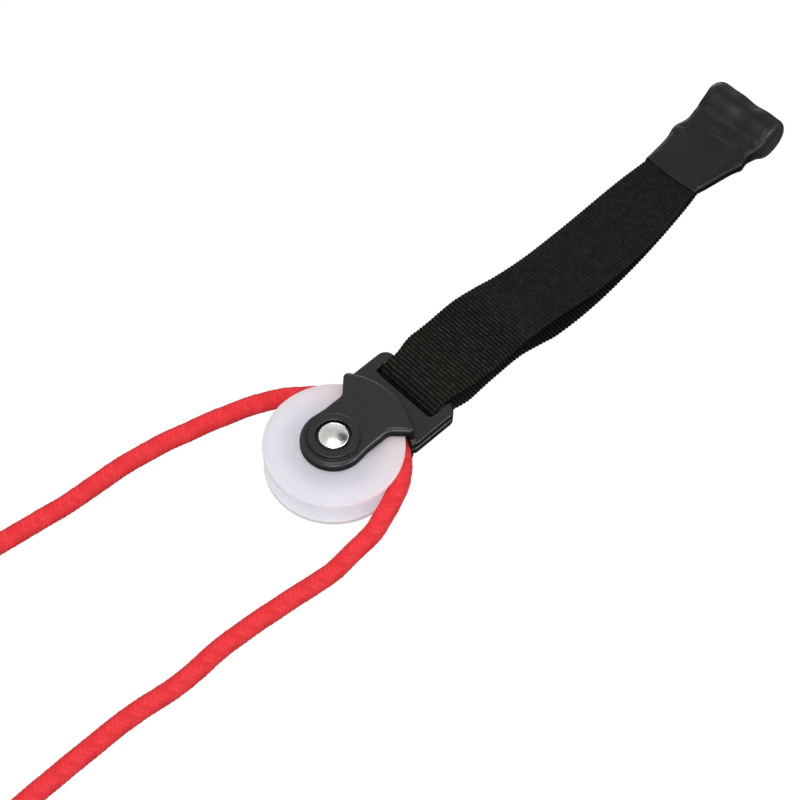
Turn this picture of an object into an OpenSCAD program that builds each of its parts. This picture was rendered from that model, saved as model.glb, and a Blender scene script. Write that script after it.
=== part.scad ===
// Shoulder pulley for a door: a grooved nylon wheel in a two-piece plastic block,
// a doubled webbing strap with a sleeved roll as door stop, and a cord over the
// wheel with a foam handle on each end.
// Millimetres. Origin: centre of the wheel. +Z: along the wheel's axle, to the front.
// +X: along the strap towards the door anchor. +Y: across the strap, to the left.
// The cord's strands run towards -X, and the handles lie across their ends.

/* [Wheel] */
// Outside diameter of the wheel
wheel_d = 50; // [46:1:52]
// Width of the wheel over its two flanges
wheel_w = 13; // [12.6:0.1:13.2]
// Width of the groove at the rim
groove_w = 8.6; // [8.2:0.1:9]
// Diameter of the shallow recess in each face
recess_d = 34; // [24:1:36]
// Depth of the recess in each face
recess_h = 0.9; // [0.6:0.1:1.2]

/* [Block] */
// Thickness of each cheek
cheek_t = 3.9; // [3.4:0.1:4.5]
// Distance from mid-plane to the inner face of a cheek
cheek_in = 6.9; // [6.8:0.05:7.1]
// Radius of the cheek's arc on the strap side
arc_r = 28.2; // [27.8:0.1:29]
// Radius of the rounded nose round the rivet
nose_r = 11.9; // [10.5:0.1:12.5]
// Height of the round boss on each cheek
boss_h = 1.2; // [0.6:0.1:1.4]
// Radius of the round boss
boss_r = 9.1; // [8.4:0.1:10]
// Half thickness of the strap plate
plate_h = 3.4; // [3.2:0.1:3.6]
// Half width of the strap plate
plate_w = 18.6; // [18:0.1:20]
// Distance from the wheel's centre to the plate's far edge
plate_x = 43; // [42.8:0.1:43.4]
// Near edge of the strap slot
slot_x = 33.4; // [33:0.1:33.6]
// Half length of the strap slot
slot_w = 14; // [13.8:0.1:14.6]

/* [Axle] */
// Diameter of the rivet's shank
rivet_d = 6; // [5:0.1:6.4]
// Diameter of the rivet's head
rivet_head_d = 10.6; // [9.5:0.1:11.4]
// Outside diameter of the spacer tube the wheel turns on
spacer_d = 8; // [7.4:0.1:8.4]
// Running clearance on radius between wheel and spacer tube
running_gap = 0.05; // [0.02:0.01:0.1]

/* [Strap] */
// Width of the webbing
web_w = 30; // [29.5:0.5:30.5]
// Thickness of the webbing
web_t = 1.5; // [1.2:0.1:1.6]
// Distance from the wheel's centre to the fold line beside the door anchor
fold_x = 181.5; // [150:0.5:230]
// Height of the folded strap at the door anchor
fold_z = -2; // [-3:0.5:0]

/* [Door anchor] */
// Radius of the inner roll
roll_r = 6.4; // [5:0.1:7]
// Length of the sleeved head across the strap
head_l = 34; // [30:0.5:36]
// Thickness of the sleeve
sleeve_t = 0.8; // [0.8:0.1:1.4]
// Distance from the fold line to the roll's centre
roll_dx = 45.3; // [40:0.1:60]
// Sideways offset of the anchor
anchor_y = 4; // [-4:0.5:4]
// Width of the webbing where it is drawn in by the sleeve
drawn_w = 24; // [22:1:25]

/* [Cord] */
// Diameter of the braided cord
cord_d = 7; // [6:0.1:7]
// Radius the cord runs at on the wheel
cord_run_r = 20.2; // [20:0.1:20.6]
// Height of the cord's centre where it lies level
cord_z = -7.7; // [-8:0.1:-7]
// Distance from the wheel's centre to the ends of both strands
strand_x = 374; // [340:1:900]
// Sideways place of the left strand's end
left_y = 100; // [96:1:120]
// Sideways place of the right strand's end, below the middle
right_y = 66; // [62:1:90]

/* [Handles] */
// Length of the foam grip
grip_l = 100; // [90:1:106]
// Outside diameter of the foam grip
grip_d = 28; // [26:1:34]
// Outside diameter of the hard tube
tube_d = 15; // [14:0.5:17]
// Length of the cord clamp
clamp_l = 26; // [20:1:30]

/* [Hidden] */
$fn = 96;

cord_red = [0.85, 0.12, 0.14];
shell_grey = [0.2, 0.2, 0.21];
web_black = [0.09, 0.09, 0.08];
cap_grey = [0.16, 0.16, 0.16];

cord_r = cord_d/2;
face_z = cheek_in + cheek_t;         // outer face of a cheek
boss_z = face_z + boss_h;            // top of the boss
seat_z = boss_z - 1.9;               // floor of the counterbore for the rivet's head
hole_d = rivet_d + 0.1;              // hole round the rivet's shank
bar_r = plate_h;                     // the strap bar is round
bar_x = plate_x - bar_r;
flat_gap = 0.1 + web_t/2;            // half distance between the two flat layers
fold_gap = web_t + 0.3;              // from the fold line to the webbing on each side

// ---- helper functions ----
function unit(v) = v/norm(v);
function polar(r, a) = r*[cos(a), sin(a)];
function arc_pts(centre, r, a0, a1, n) = [for (i = [0:n]) centre + polar(r, a0 + (a1 - a0)*i/n)];
function flip(p) = [for (i = [len(p) - 1:-1:0]) p[i]];
// closed outline from its half on one side of the X axis
function mirrored(half) = concat(half, flip([for (p = half) [p[0], -p[1]]]));

// point i of a path, held at the path's ends
function at(p, i) = p[max(0, min(len(p) - 1, i))];
function heading(p, i) = unit(at(p, i + 1) - at(p, i - 1));
// slope per unit length at point i
function slope(p, i) = (at(p, i + 1) - at(p, i - 1))
  /(norm(at(p, i + 1) - at(p, i)) + norm(at(p, i) - at(p, i - 1)));
// cubic from point i to the next, for s from 0 to 1
function hermite(p, i, s) =
  let (start = p[i], end = p[i + 1], gap = norm(end - start))
  (2*s*s*s - 3*s*s + 1)*start + (s*s*s - 2*s*s + s)*slope(p, i)*gap
    + (3*s*s - 2*s*s*s)*end + (s*s*s - s*s)*slope(p, i + 1)*gap;
// smooth curve through the control points, with steps of about the given length
function smooth(p, step) = [
  for (i = [0:len(p) - 2])
    let (n = max(1, round(norm(p[i + 1] - p[i])/step)))
    for (j = [0:n - (i == len(p) - 2 ? 0 : 1)]) hermite(p, i, j/n)];
// n points round a path's point, square to its direction
function cord_ring(centre, dir, r, n) =
  let (side = unit(cross(dir, [0, 0, 1])), up = cross(side, dir))
  [for (k = [0:n - 1]) centre + r*cos(360*k/n)*side + r*sin(360*k/n)*up];
// a side line of a flat path, the given distance away from it
function beside(p, dist) = [
  for (i = [0:len(p) - 1]) let (t = heading(p, i)) p[i] + dist*[-t[1], t[0]]];

// round cord along a path of 3-D points
module cord(path, n = 12) {
  m = len(path);
  polyhedron(
    points = [for (i = [0:m - 1]) each cord_ring(path[i], heading(path, i), cord_r, n)],
    faces = concat(
      [[for (k = [0:n - 1]) k]],
      [for (i = [0:m - 2]) for (k = [0:n - 1]) each [
        [i*n + k, (i + 1)*n + k, (i + 1)*n + (k + 1)%n],
        [i*n + k, (i + 1)*n + (k + 1)%n, i*n + (k + 1)%n]]],
      [[for (k = [n - 1:-1:0]) (m - 1)*n + k]]));
}

// X-Y outline drawn in X-Z and extruded across Y, from y = top_y downwards
module across(width, top_y) {
  translate([0, top_y, 0]) rotate([90, 0, 0]) linear_extrude(width) children();
}

// flat band of webbing: a path in X-Z, extruded across Y about the given y
module band(path, w, y = 0) {
  across(w, y + w/2) polygon(concat(beside(path, web_t/2), flip(beside(path, -web_t/2))));
}

// ---- wheel and axle ----
wheel_r = wheel_d/2;
rim_bevel = 0.8;
recess_slope = 1.2;                  // width of the recess's sloping side
groove_r = cord_r + 0.4;
axial_gap = 0.03;                    // clearance on each face of a thrust washer

module pulley_wheel() {
  color("ghostwhite")
  rotate_extrude() difference() {
    polygon(mirrored([
      [spacer_d/2 + running_gap, -wheel_w/2 + recess_h],
      [recess_d/2 - recess_slope, -wheel_w/2 + recess_h],
      [recess_d/2, -wheel_w/2],
      [wheel_r - rim_bevel, -wheel_w/2],
      [wheel_r, -wheel_w/2 + rim_bevel]]));
    translate([cord_run_r, 0]) circle(r = groove_r);
    polygon([[cord_run_r, -groove_r], [wheel_r + 1, -groove_w/2],
      [wheel_r + 1, groove_w/2], [cord_run_r, groove_r]]);
  }
}

module axle_spacer() {
  end_gap = 0.02;
  color("darkgoldenrod")
  difference() {
    translate([0, 0, -cheek_in + end_gap]) cylinder(d = spacer_d, h = 2*(cheek_in - end_gap));
    translate([0, 0, -cheek_in - 1]) cylinder(d = hole_d, h = 2*cheek_in + 2);
  }
}

// washer between the wheel and a cheek; side is +1 for the front, -1 for the rear
module thrust_washer(side) {
  near_z = wheel_w/2 - recess_h + axial_gap;
  thick = cheek_in - axial_gap - near_z;
  translate([0, 0, side > 0 ? near_z : -near_z - thick])
    difference() {
      cylinder(r = 7, h = thick);
      translate([0, 0, -1]) cylinder(r = spacer_d/2 + 0.06, h = thick + 2);
    }
}
module front_washer() { color("whitesmoke") thrust_washer(1); }
module rear_washer() { color("whitesmoke") thrust_washer(-1); }

module axle_rivet() {
  head_r = rivet_head_d/2;
  dome_h = 1.2;
  head_edge_h = 1.8;                 // from the counterbore's floor to the dome's edge
  ball_r = (head_r*head_r + dome_h*dome_h)/(2*dome_h);
  color("silver") union() {
    // shank
    translate([0, 0, -seat_z - 1.2]) cylinder(d = rivet_d, h = 2*seat_z + 1.7);
    // domed head in its counterbore
    rotate_extrude() intersection() {
      translate([0, seat_z + 0.02]) square([head_r, 4]);
      translate([0, seat_z + head_edge_h + dome_h - ball_r]) circle(r = ball_r, $fn = 180);
    }
    // rolled end over the washer
    translate([0, 0, -seat_z - 1.5]) cylinder(r1 = 3.5, r2 = 4.4, h = 0.78);
  }
}

module rivet_washer() {
  color("silver") difference() {
    translate([0, 0, -seat_z - 0.7]) cylinder(r = 5.5, h = 0.68);
    translate([0, 0, -seat_z - 2]) cylinder(d = hole_d, h = 3);
  }
}

// ---- block ----
wall_r = arc_r - 1.3;                // inner radius of the wall behind the cord
tip_a = 38.7;                        // angle of the cheek's two tips
bore_r = 6.4;                        // radius of the rivet head's counterbore
bevel_h = 1.3;                       // height of the cheek's stepped bevel
bevel_top_h = 0.5;                   // height of its upper step
mid_gap = 0.01;                      // from the parting plane to each half
groove_z = 0.4;                      // half width of the groove along the parting plane
plate_groove = 0.35;                 // depth of that groove round the plate
wall_groove = 0.3;                   // and round the wall
pin_r = 1.1;
pin_y = 16.3;

// outline of a cheek: round nose, parallel sides, hollow corners, two tips, arc
module cheek_outline(grow = 0) {
  tip = polar(arc_r + grow, tip_a);
  side_y = nose_r - 0.6 + grow;
  hollow_r = 4;
  edge_x = tip[0] - (tip[1] - side_y);    // where the 45 degree edge meets the side
  hollow_x = edge_x - hollow_r*tan(22.5);
  intersection() {
    polygon(mirrored(concat(
      arc_pts([0, 0], nose_r + grow, 178, 82, 16),
      [[6, side_y]],
      arc_pts([hollow_x, side_y + hollow_r], hollow_r, 270, 315, 6),
      arc_pts(tip + [1.15, -0.35], 1.2, 165, 75, 4),
      [polar(arc_r + 4, tip_a - 4), [arc_r + 8, 6]])));
    circle(r = arc_r + grow);
  }
}

module plate_outline() {
  corner_r = 4;
  difference() {
    polygon(mirrored(concat(
      [[14, wall_r*0.62], [20.5, plate_w - 1], [22.5, plate_w]],
      arc_pts([plate_x - corner_r, plate_w - corner_r], corner_r, 90, 0, 6))));
    circle(r = wall_r);
  }
}

// plate outline drawn in by the parting groove's depth
module inset_plate_outline() {
  near_x = 10;
  intersection() {
    plate_outline();
    translate([near_x, -plate_w + plate_groove])
      square([plate_x - near_x - plate_groove, 2*(plate_w - plate_groove)]);
  }
}

// curved wall between the cheeks on the strap side; it stops shorter of the +Y tip
module wall_outline(inset = 0) {
  intersection() {
    difference() {
      circle(r = arc_r - inset);
      circle(r = wall_r);
    }
    polygon([[0, 0], polar(60, 2 - tip_a), [90, 0], polar(60, tip_a - 8)]);
  }
}

// places of the four locating pins
module at_pins(z) {
  for (x = [31, bar_x - 0.6], side = [-1, 1])
    translate([x, side*pin_y, z]) children();
}

// one half of the block, for z above the parting plane; it has either pins or sockets
module half_block(pins) {
  bar_l = 2*slot_w + 0.4;
  difference() {
    union() {
      // cheek with a bevelled edge
      translate([0, 0, cheek_in]) linear_extrude(cheek_t - bevel_h) cheek_outline();
      translate([0, 0, face_z - bevel_h])
        linear_extrude(bevel_h - bevel_top_h) cheek_outline(-0.35);
      translate([0, 0, face_z - bevel_top_h]) linear_extrude(bevel_top_h) cheek_outline(-1);
      // boss round the rivet
      translate([0, 0, face_z - 0.2]) cylinder(r = boss_r, h = boss_h + 0.2);
      // wall behind the cord
      translate([0, 0, groove_z]) linear_extrude(cheek_in - 0.2) wall_outline();
      translate([0, 0, mid_gap]) linear_extrude(0.6) wall_outline(wall_groove);
      // strap plate
      translate([0, 0, groove_z]) linear_extrude(plate_h - groove_z) plate_outline();
      translate([0, 0, mid_gap]) linear_extrude(0.6) inset_plate_outline();
    }
    // hole for the rivet, counterbore for its head
    translate([0, 0, cheek_in - 1]) cylinder(d = hole_d, h = 10);
    translate([0, 0, seat_z]) cylinder(r = bore_r, h = 10);
    // strap slot, open round the bar
    translate([slot_x, -slot_w, -1]) cube([plate_x - slot_x + 2, 2*slot_w, 10]);
    if (!pins) at_pins(-1) cylinder(r = pin_r + 0.05, h = 3.2);
  }
  // round strap bar, let into the plate's two arms
  intersection() {
    translate([bar_x, bar_l/2, 0]) rotate([90, 0, 0]) cylinder(r = bar_r, h = bar_l);
    translate([bar_x - 10, -bar_l/2, mid_gap]) cube([20, bar_l, 10]);
  }
  if (pins) at_pins(-1.8) cylinder(r = pin_r, h = 2.4);
}
module front_shell() { color(shell_grey) half_block(false); }
module rear_shell() { color(shell_grey) mirror([0, 0, 1]) half_block(true); }

// ---- strap ----
strap_end = fold_x - fold_gap;
span = strap_end - bar_x;
bar_wrap_r = bar_r + 0.3 + web_t/2;  // webbing's middle radius round the bar

module strap_webbing() {
  // [x, z] along the middle of each layer
  top = [[strap_end, fold_z + flat_gap], [strap_end - 12, fold_z + flat_gap],
    [bar_x + span*0.72, -0.6], [bar_x + span*0.5, 1.2], [bar_x + span*0.25, 3],
    [bar_x + 12, 4.5], [bar_x + 4, bar_wrap_r]];
  bottom = [[bar_x + 4, -bar_wrap_r], [bar_x + 12, -5], [bar_x + span*0.25, -7.6],
    [bar_x + span*0.5, -8.7], [bar_x + span*0.72, -6.6],
    [strap_end - 12, fold_z - flat_gap - 0.1], [strap_end, fold_z - flat_gap]];
  bar_turn = arc_pts([bar_x, 0], bar_wrap_r, 90, 270, 12);
  step = 9;
  full_y = web_w/2;
  slot_y = slot_w - 0.4;             // half width where the webbing is in the slot
  color(web_black) intersection() {
    band(concat(smooth(top, step), bar_turn, smooth(bottom, step)), web_w);
    translate([0, 0, -30]) linear_extrude(60) polygon(mirrored([
      [0, -slot_y], [bar_x + 6, -slot_y], [bar_x + 10, -full_y], [fold_x, -full_y]]));
  }
}

// ---- door anchor ----
roll_x = fold_x + roll_dx;
anchor_start = fold_x + fold_gap;
roll_wrap_r = roll_r + 0.1 + web_t/2;
// the flat layers part at lift_x before the roll's centre and meet the roll at lift_a
lift_x = 13;
lift_a = 180 - acos(roll_wrap_r/norm([lift_x, flat_gap])) - atan(flat_gap/lift_x);

module anchor_roll() {
  inset = 3;                         // from the sleeved head's end to the roll's
  color("dimgray") translate([roll_x, anchor_y + head_l/2 - inset, fold_z])
    rotate([90, 0, 0]) cylinder(r = roll_r, h = head_l - 2*inset);
}

module anchor_webbing() {
  // [x, height above the fold] of the upper layer, up to the roll
  upper = [[anchor_start, flat_gap], [roll_x - lift_x - 6, flat_gap],
    [roll_x - lift_x - 1, flat_gap + 0.2]];
  color(web_black) band(concat(
    [for (p = upper) [p[0], fold_z + p[1]]],
    arc_pts([roll_x, fold_z], roll_wrap_r, lift_a, -lift_a, 24),
    [for (p = flip(upper)) [p[0], fold_z - p[1]]]), drawn_w, anchor_y);
}

module anchor_stitching() {
  // three rows of stitches on both faces of the doubled webbing
  color([0.15, 0.15, 0.15]) for (dx = [7, 13, 19], y = [-10:4:10], side = [-1, 1])
    translate([fold_x + dx, anchor_y + y, fold_z + side*(flat_gap + web_t/2 + 0.17)])
      cube([0.7, 3.2, 0.3], center = true);
}

// solid with the sleeve's side view (flat part, flare, round head) and its plan;
// flat_h, neck_w and head_w are half sizes
module sleeve_body(head_r, flat_h, neck_w, head_w, start_x) {
  flare_x = roll_x - 14.5;
  flare_a = 122;
  intersection() {
    across(80, 40) polygon(concat(
      [[start_x, fold_z + flat_h], [flare_x, fold_z + flat_h]],
      arc_pts([roll_x, fold_z], head_r, flare_a, -flare_a, 30),
      [[flare_x, fold_z - flat_h], [start_x, fold_z - flat_h]]));
    translate([0, anchor_y, -30]) linear_extrude(60) polygon(mirrored([
      [start_x, -neck_w], [roll_x - 30, -neck_w - 1.6], [roll_x - 20, -head_w + 0.7],
      [roll_x - 7, -head_w], [roll_x + 7, -head_w], [roll_x + 12, -head_w + 3]]));
  }
}
module anchor_sleeve() {
  start_x = anchor_start + 0.2;
  inner_r = roll_wrap_r + web_t/2 + 0.2;
  inner_h = flat_gap + web_t/2 + 0.4;
  color([0.15, 0.15, 0.155]) difference() {
    sleeve_body(inner_r + sleeve_t, inner_h + sleeve_t, drawn_w/2 + 1.3, head_l/2, start_x);
    sleeve_body(inner_r, inner_h, drawn_w/2 + 0.2, head_l/2 - 1.5, start_x - 1);
  }
}

// ---- cord ----
clamp_r = 5.4;                       // radius of the clamps' rounded sides
clamp_z = -boss_z + clamp_r;         // clamps and grips lie level with the rear boss

// [radius, angle, z] along the cord round the wheel
wheel_stations = [
  [29.2, 79, -1.3], [26.6, 71, -0.3], [25.2, 62, 0], [24.1, 51, 0], [23.3, 41, 0],
  [22.9, 33, 0], [21.6, 23, 0], [cord_run_r + 0.3, 12, 0], [cord_run_r, 0, 0],
  [cord_run_r + 0.3, -12, 0], [21.6, -23, 0], [22.9, -33, 0], [23.3, -41, 0],
  [24.1, -51, 0], [25, -61, 0], [26.3, -74, -0.2], [27.4, -85, -0.9], [28.9, -94, -1.9]];
wheel_path = [for (s = wheel_stations) concat(polar(s[0], s[1]), [s[2]])];

// [x, y, z] along each strand, from the wheel to its clamp
left_path = [
  concat(polar(29.9, 80.5), [-1.7]) + [-1.2, 1.3, -0.5],
  [-2.5, 35.5, -4.1], [-8, 39.2, -6], [-15, 42, -7.3], [-26, 45.5, cord_z],
  [-40, 49, cord_z], [-56, 51.6, cord_z], [-74, 53.1, cord_z], [-92, 54.6, cord_z],
  [-112, 57.2, cord_z], [-155, 65, cord_z], [-215, 79, cord_z], [-280, 92, cord_z],
  [-strand_x + 40, left_y - 1, cord_z + 0.7], [-strand_x, left_y, clamp_z]];
right_path = [
  concat(polar(29.2, -96.2), [-2.3]) + [-1.7, -0.4, -0.4],
  [-10, -30.5, -4], [-18, -31, -6], [-26, -30.8, -7.3], [-37, -30, cord_z],
  [-49, -28.7, cord_z], [-62, -27.2, cord_z], [-78, -26.4, cord_z], [-98, -25.8, cord_z],
  [-118, -24.6, cord_z], [-155, -23.4, cord_z], [-205, -28, cord_z], [-265, -43, cord_z],
  [-strand_x + 45, -right_y + 3.5, cord_z + 0.7], [-strand_x, -right_y, clamp_z]];

module cord_on_wheel() { color(cord_red) cord(smooth(wheel_path, 3)); }
module left_strand() { color(cord_red) cord(smooth(left_path, 9)); }
module right_strand() { color(cord_red) cord(smooth(right_path, 9)); }

// ---- handles ----
// Each clamp holds the strand's end and the cut end of the handle's cord side by side.
clamp_x = -strand_x - 2.5;           // mouth of the clamps on the wheel's side
clamp_end = clamp_x - clamp_l;
handle_x = clamp_end - 2.1;          // the handle's cord is laid out from here
pair_dy = cord_r + 0.7;              // half distance between the cords in a clamp
tube_l = grip_l + 4;
cap_t = 3;
end_y = tube_l/2 + cap_t;            // outer face of the caps from the grip's middle
eye_r = cord_r + 0.7;                // hole in the caps for the cord
cap_d = grip_d - 2;
// In plan, a straight leg runs out to a bend at the grip's end.
bend_r = 8;
bend_y = end_y + 1;                  // centre of the bend from the grip's middle
bend_a = 50;                         // angle round that centre where the leg arrives
leg_start = [handle_x - 8, pair_dy];
leg_end_y = bend_y + bend_r*sin(bend_a);
leg_end = [leg_start[0] - (leg_end_y - pair_dy)*tan(bend_a), leg_end_y];
grip_x = leg_end[0] - bend_r*(1 + cos(bend_a));
grip_z = -boss_z + grip_d/2;
ramp_x = handle_x - 14;              // where the leg starts to change height

function leg_z(x) =
  clamp_z + (grip_z - clamp_z)*max(0, min(1, (x - ramp_x)/(leg_end[0] - ramp_x)));
// handle's cord in plan, for the half on +Y: leg, bend, half of the run through the grip
half_handle = concat(
  [[handle_x - 2.1, pair_dy], [handle_x - 6, pair_dy + 0.3], [handle_x - 12, pair_dy + 3.4]],
  [for (s = [0.3:0.175:1]) leg_start + (leg_end - leg_start)*s],
  arc_pts([grip_x + bend_r, bend_y], bend_r, bend_a + (180 - bend_a)/6, 180, 5),
  [[grip_x, end_y*0.6], [grip_x, end_y*0.2]]);
handle_path = [for (p = mirrored(half_handle)) [p[0], p[1], leg_z(p[0])]];

module clamp_body() {
  difference() {
    translate([clamp_end, 0, 0]) rotate([0, 90, 0]) linear_extrude(clamp_l) union() {
      square([2*clamp_r, 2*pair_dy + 2], center = true);
      for (side = [-1, 1]) translate([0, side*(pair_dy + 1)]) circle(r = clamp_r);
    }
    for (side = [-1, 1]) translate([clamp_end - 1, side*pair_dy, 0])
      rotate([0, 90, 0]) cylinder(r = cord_r + 0.15, h = clamp_l + 2);
    // two grooves across the front face and two across the rear
    for (dx = [-5, 5], side = [-1, 1])
      translate([clamp_end + clamp_l/2 + dx, 0, side*(clamp_r + 0.2)])
        cube([2, 40, 1.2], center = true);
  }
}
module clamped_ends() {
  for (side = [-1, 1]) translate([clamp_end + 0.5, side*pair_dy, 0])
    rotate([0, 90, 0]) cylinder(r = cord_r, h = clamp_l - 1);
}
module grip_tube() {
  rotate([90, 0, 0]) difference() {
    translate([0, 0, -tube_l/2]) cylinder(d = tube_d, h = tube_l);
    translate([0, 0, -tube_l/2 - 1]) cylinder(d = tube_d - 5, h = tube_l + 2);
  }
}
module foam_grip() {
  rotate([90, 0, 0]) rotate_extrude() polygon(mirrored([
    [tube_d/2 + 0.03, -grip_l/2], [grip_d/2 - 2, -grip_l/2],
    [grip_d/2 - 0.6, -grip_l/2 + 0.6], [grip_d/2, -grip_l/2 + 2]]));
}
// flanged plug at the +Y or -Y end of the tube; the cord passes through its eye
module end_cap(side) {
  collar_l = (tube_l - grip_l)/2;
  rotate([side > 0 ? -90 : 90, 0, 0]) difference() {
    union() {
      // flange with a bevelled outer edge
      translate([0, 0, tube_l/2 + 0.02]) cylinder(d = cap_d, h = cap_t - 1.02);
      translate([0, 0, end_y - 1]) cylinder(d1 = cap_d, d2 = cap_d - 3, h = 1);
      // plug inside the tube
      translate([0, 0, tube_l/2 - 7]) cylinder(d = tube_d - 5.04, h = 7.1);
      // collar round the tube's end
      translate([0, 0, grip_l/2 + 0.02]) difference() {
        cylinder(d = cap_d, h = collar_l + 0.2);
        translate([0, 0, -1]) cylinder(d = tube_d + 0.04, h = collar_l + 1.02);
      }
    }
    // eye and its flare
    translate([0, 0, tube_l/2 - 8]) cylinder(r = eye_r, h = cap_t + 10);
    translate([0, 0, end_y - 1.2]) cylinder(r1 = eye_r, r2 = eye_r + 1.5, h = 1.3);
  }
}

// hand is +1 for the left handle and -1 for the right one
function hand_y(hand) = hand > 0 ? left_y + pair_dy : -right_y - pair_dy;
module at_clamp(hand) { translate([0, hand_y(hand), clamp_z]) children(); }
module at_grip(hand) { translate([grip_x, hand_y(hand), grip_z]) children(); }
module handle_cord(hand) { translate([0, hand_y(hand), 0]) cord(handle_path); }

module left_clamp() { color([0.12, 0.12, 0.12]) at_clamp(1) clamp_body(); }
module right_clamp() { color([0.12, 0.12, 0.12]) at_clamp(-1) clamp_body(); }
module left_clamped_ends() { color(cord_red) at_clamp(1) clamped_ends(); }
module right_clamped_ends() { color(cord_red) at_clamp(-1) clamped_ends(); }
module left_handle_cord() { color(cord_red) handle_cord(1); }
module right_handle_cord() { color(cord_red) handle_cord(-1); }
module left_grip_tube() { color([0.2, 0.2, 0.2]) at_grip(1) grip_tube(); }
module right_grip_tube() { color([0.2, 0.2, 0.2]) at_grip(-1) grip_tube(); }
module left_foam_grip() { color([0.1, 0.1, 0.1]) at_grip(1) foam_grip(); }
module right_foam_grip() { color([0.1, 0.1, 0.1]) at_grip(-1) foam_grip(); }
// the inner caps face the other handle
module left_inner_cap() { color(cap_grey) at_grip(1) end_cap(-1); }
module left_outer_cap() { color(cap_grey) at_grip(1) end_cap(1); }
module right_inner_cap() { color(cap_grey) at_grip(-1) end_cap(1); }
module right_outer_cap() { color(cap_grey) at_grip(-1) end_cap(-1); }

anchor_roll();
anchor_webbing();
anchor_stitching();
anchor_sleeve();
strap_webbing();
front_shell();
rear_shell();
axle_rivet();
rivet_washer();
axle_spacer();
front_washer();
rear_washer();
pulley_wheel();
cord_on_wheel();
left_strand();
right_strand();
left_clamp();
right_clamp();
left_clamped_ends();
right_clamped_ends();
left_handle_cord();
right_handle_cord();
left_grip_tube();
right_grip_tube();
left_foam_grip();
right_foam_grip();
left_inner_cap();
left_outer_cap();
right_inner_cap();
right_outer_cap();
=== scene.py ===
"""Shoulder pulley: cord over a nylon wheel in a two-shell block, hung on a webbing strap.

The strap ends in a sleeved door anchor; each cord end carries a clamp and a foam-gripped handle.
Lengths and vertices are in millimetres and become metres in make() and metres().
Frame: origin at the wheel's centre, +Z along the axle, +X along the strap towards the door anchor,
+Y across the strap. Left parts lie towards +Y, right parts towards -Y, front parts towards +Z;
the handles lie towards -X.
"""

import math

import bmesh
import bpy
import numpy as np
from mathutils import Matrix, Vector


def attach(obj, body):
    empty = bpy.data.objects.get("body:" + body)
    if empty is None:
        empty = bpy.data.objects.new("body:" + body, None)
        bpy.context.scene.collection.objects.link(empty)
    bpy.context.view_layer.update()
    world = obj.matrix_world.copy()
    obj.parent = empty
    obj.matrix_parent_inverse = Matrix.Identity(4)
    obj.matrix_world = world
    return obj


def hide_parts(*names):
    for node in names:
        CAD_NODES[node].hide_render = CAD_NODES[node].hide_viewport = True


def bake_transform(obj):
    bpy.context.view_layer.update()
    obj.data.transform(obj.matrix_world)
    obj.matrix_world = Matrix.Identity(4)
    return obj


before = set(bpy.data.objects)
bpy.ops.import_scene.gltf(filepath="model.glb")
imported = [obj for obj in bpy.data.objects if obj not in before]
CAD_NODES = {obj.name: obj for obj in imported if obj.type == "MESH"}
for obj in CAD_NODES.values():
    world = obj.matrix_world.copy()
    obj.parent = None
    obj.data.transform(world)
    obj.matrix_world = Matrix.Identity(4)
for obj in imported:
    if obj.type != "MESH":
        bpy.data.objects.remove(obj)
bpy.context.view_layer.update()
MILLIMETRE = 0.001

# ---------------------------------------------------------------- shared dimensions
# Wheel; RUN_R is the radius of the cord's centre line on it
WHEEL_R, WHEEL_W, GROOVE_W = 25.0, 13.0, 8.6
RECESS_R, RECESS_DEPTH = 17.0, 0.9
BORE_R, RUN_R, CORD_R = 4.05, 20.2, 3.5

# Block: cheeks beside the wheel, a boss on each, a wall and a plate towards the strap
CHEEK_IN, CHEEK_T, ARC_R, NOSE_R = 6.9, 3.9, 28.2, 11.9
BOSS_R, BOSS_H = 9.1, 1.2
FACE_Z = CHEEK_IN + CHEEK_T
BOSS_Z = FACE_Z + BOSS_H
SEAT_Z = BOSS_Z - 1.9  # floor of the rivet's counterbore
WALL_R = ARC_R - 1.3
TIP_ANGLE = 38.7  # where the cheek's arc ends, degrees from +X
PLATE_H, PLATE_HALF_W, PLATE_X = 3.4, 18.6, 43.0
SLOT_X, SLOT_HALF_W = 33.4, 14.0
BAR_R = PLATE_H
BAR_X = PLATE_X - BAR_R

# Strap and door anchor
WEB_T, RIB = 1.5, 1.6  # thickness, and length of one weft rib
WEB_R = BAR_R + 0.3 + WEB_T / 2
WEB_GAP = 0.1 + WEB_T / 2  # from the fold's middle plane to the middle of each layer
FOLD_X, FOLD_Z = 181.5, -2.0
ROLL_X, ROLL_R, ANCHOR_Y, DRAWN_W = 226.8, 6.4, 4.0, 24.0

# Cord strands, clamps and handles
CORD_Z, STRAND_X, LEFT_Y, RIGHT_Y = -7.7, 374.0, 100.0, 66.0
CLAMP_L, CLAMP_R, CLAMP_X = 26.0, 5.4, -376.5
CLAMP_Z = -BOSS_Z + CLAMP_R
TILT_X = CLAMP_X - CLAMP_L - 2.1  # where the handle's cords start to part
PAIR_DY = CORD_R + 0.7  # half the distance between the two cords in a clamp
GRIP_L, GRIP_D, TUBE_D, CAP_T = 100.0, 28.0, 15.0, 3.0
TUBE_L = GRIP_L + 4
END_Y = TUBE_L / 2 + CAP_T
GRIP_Z = -BOSS_Z + GRIP_D / 2
BEND_R, LEG_ANGLE = 8.0, 50.0  # cord's bend at the grip's end; the leg meets it at this angle
LEG_TURN = math.radians(LEG_ANGLE)
LEG_START_X = TILT_X - 8
LEG_END_Y = END_Y + 1 + BEND_R * math.sin(LEG_TURN)
LEG_END_X = LEG_START_X - (LEG_END_Y - PAIR_DY) * math.tan(LEG_TURN)
GRIP_X = LEG_END_X - BEND_R * (1 + math.cos(LEG_TURN))


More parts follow.
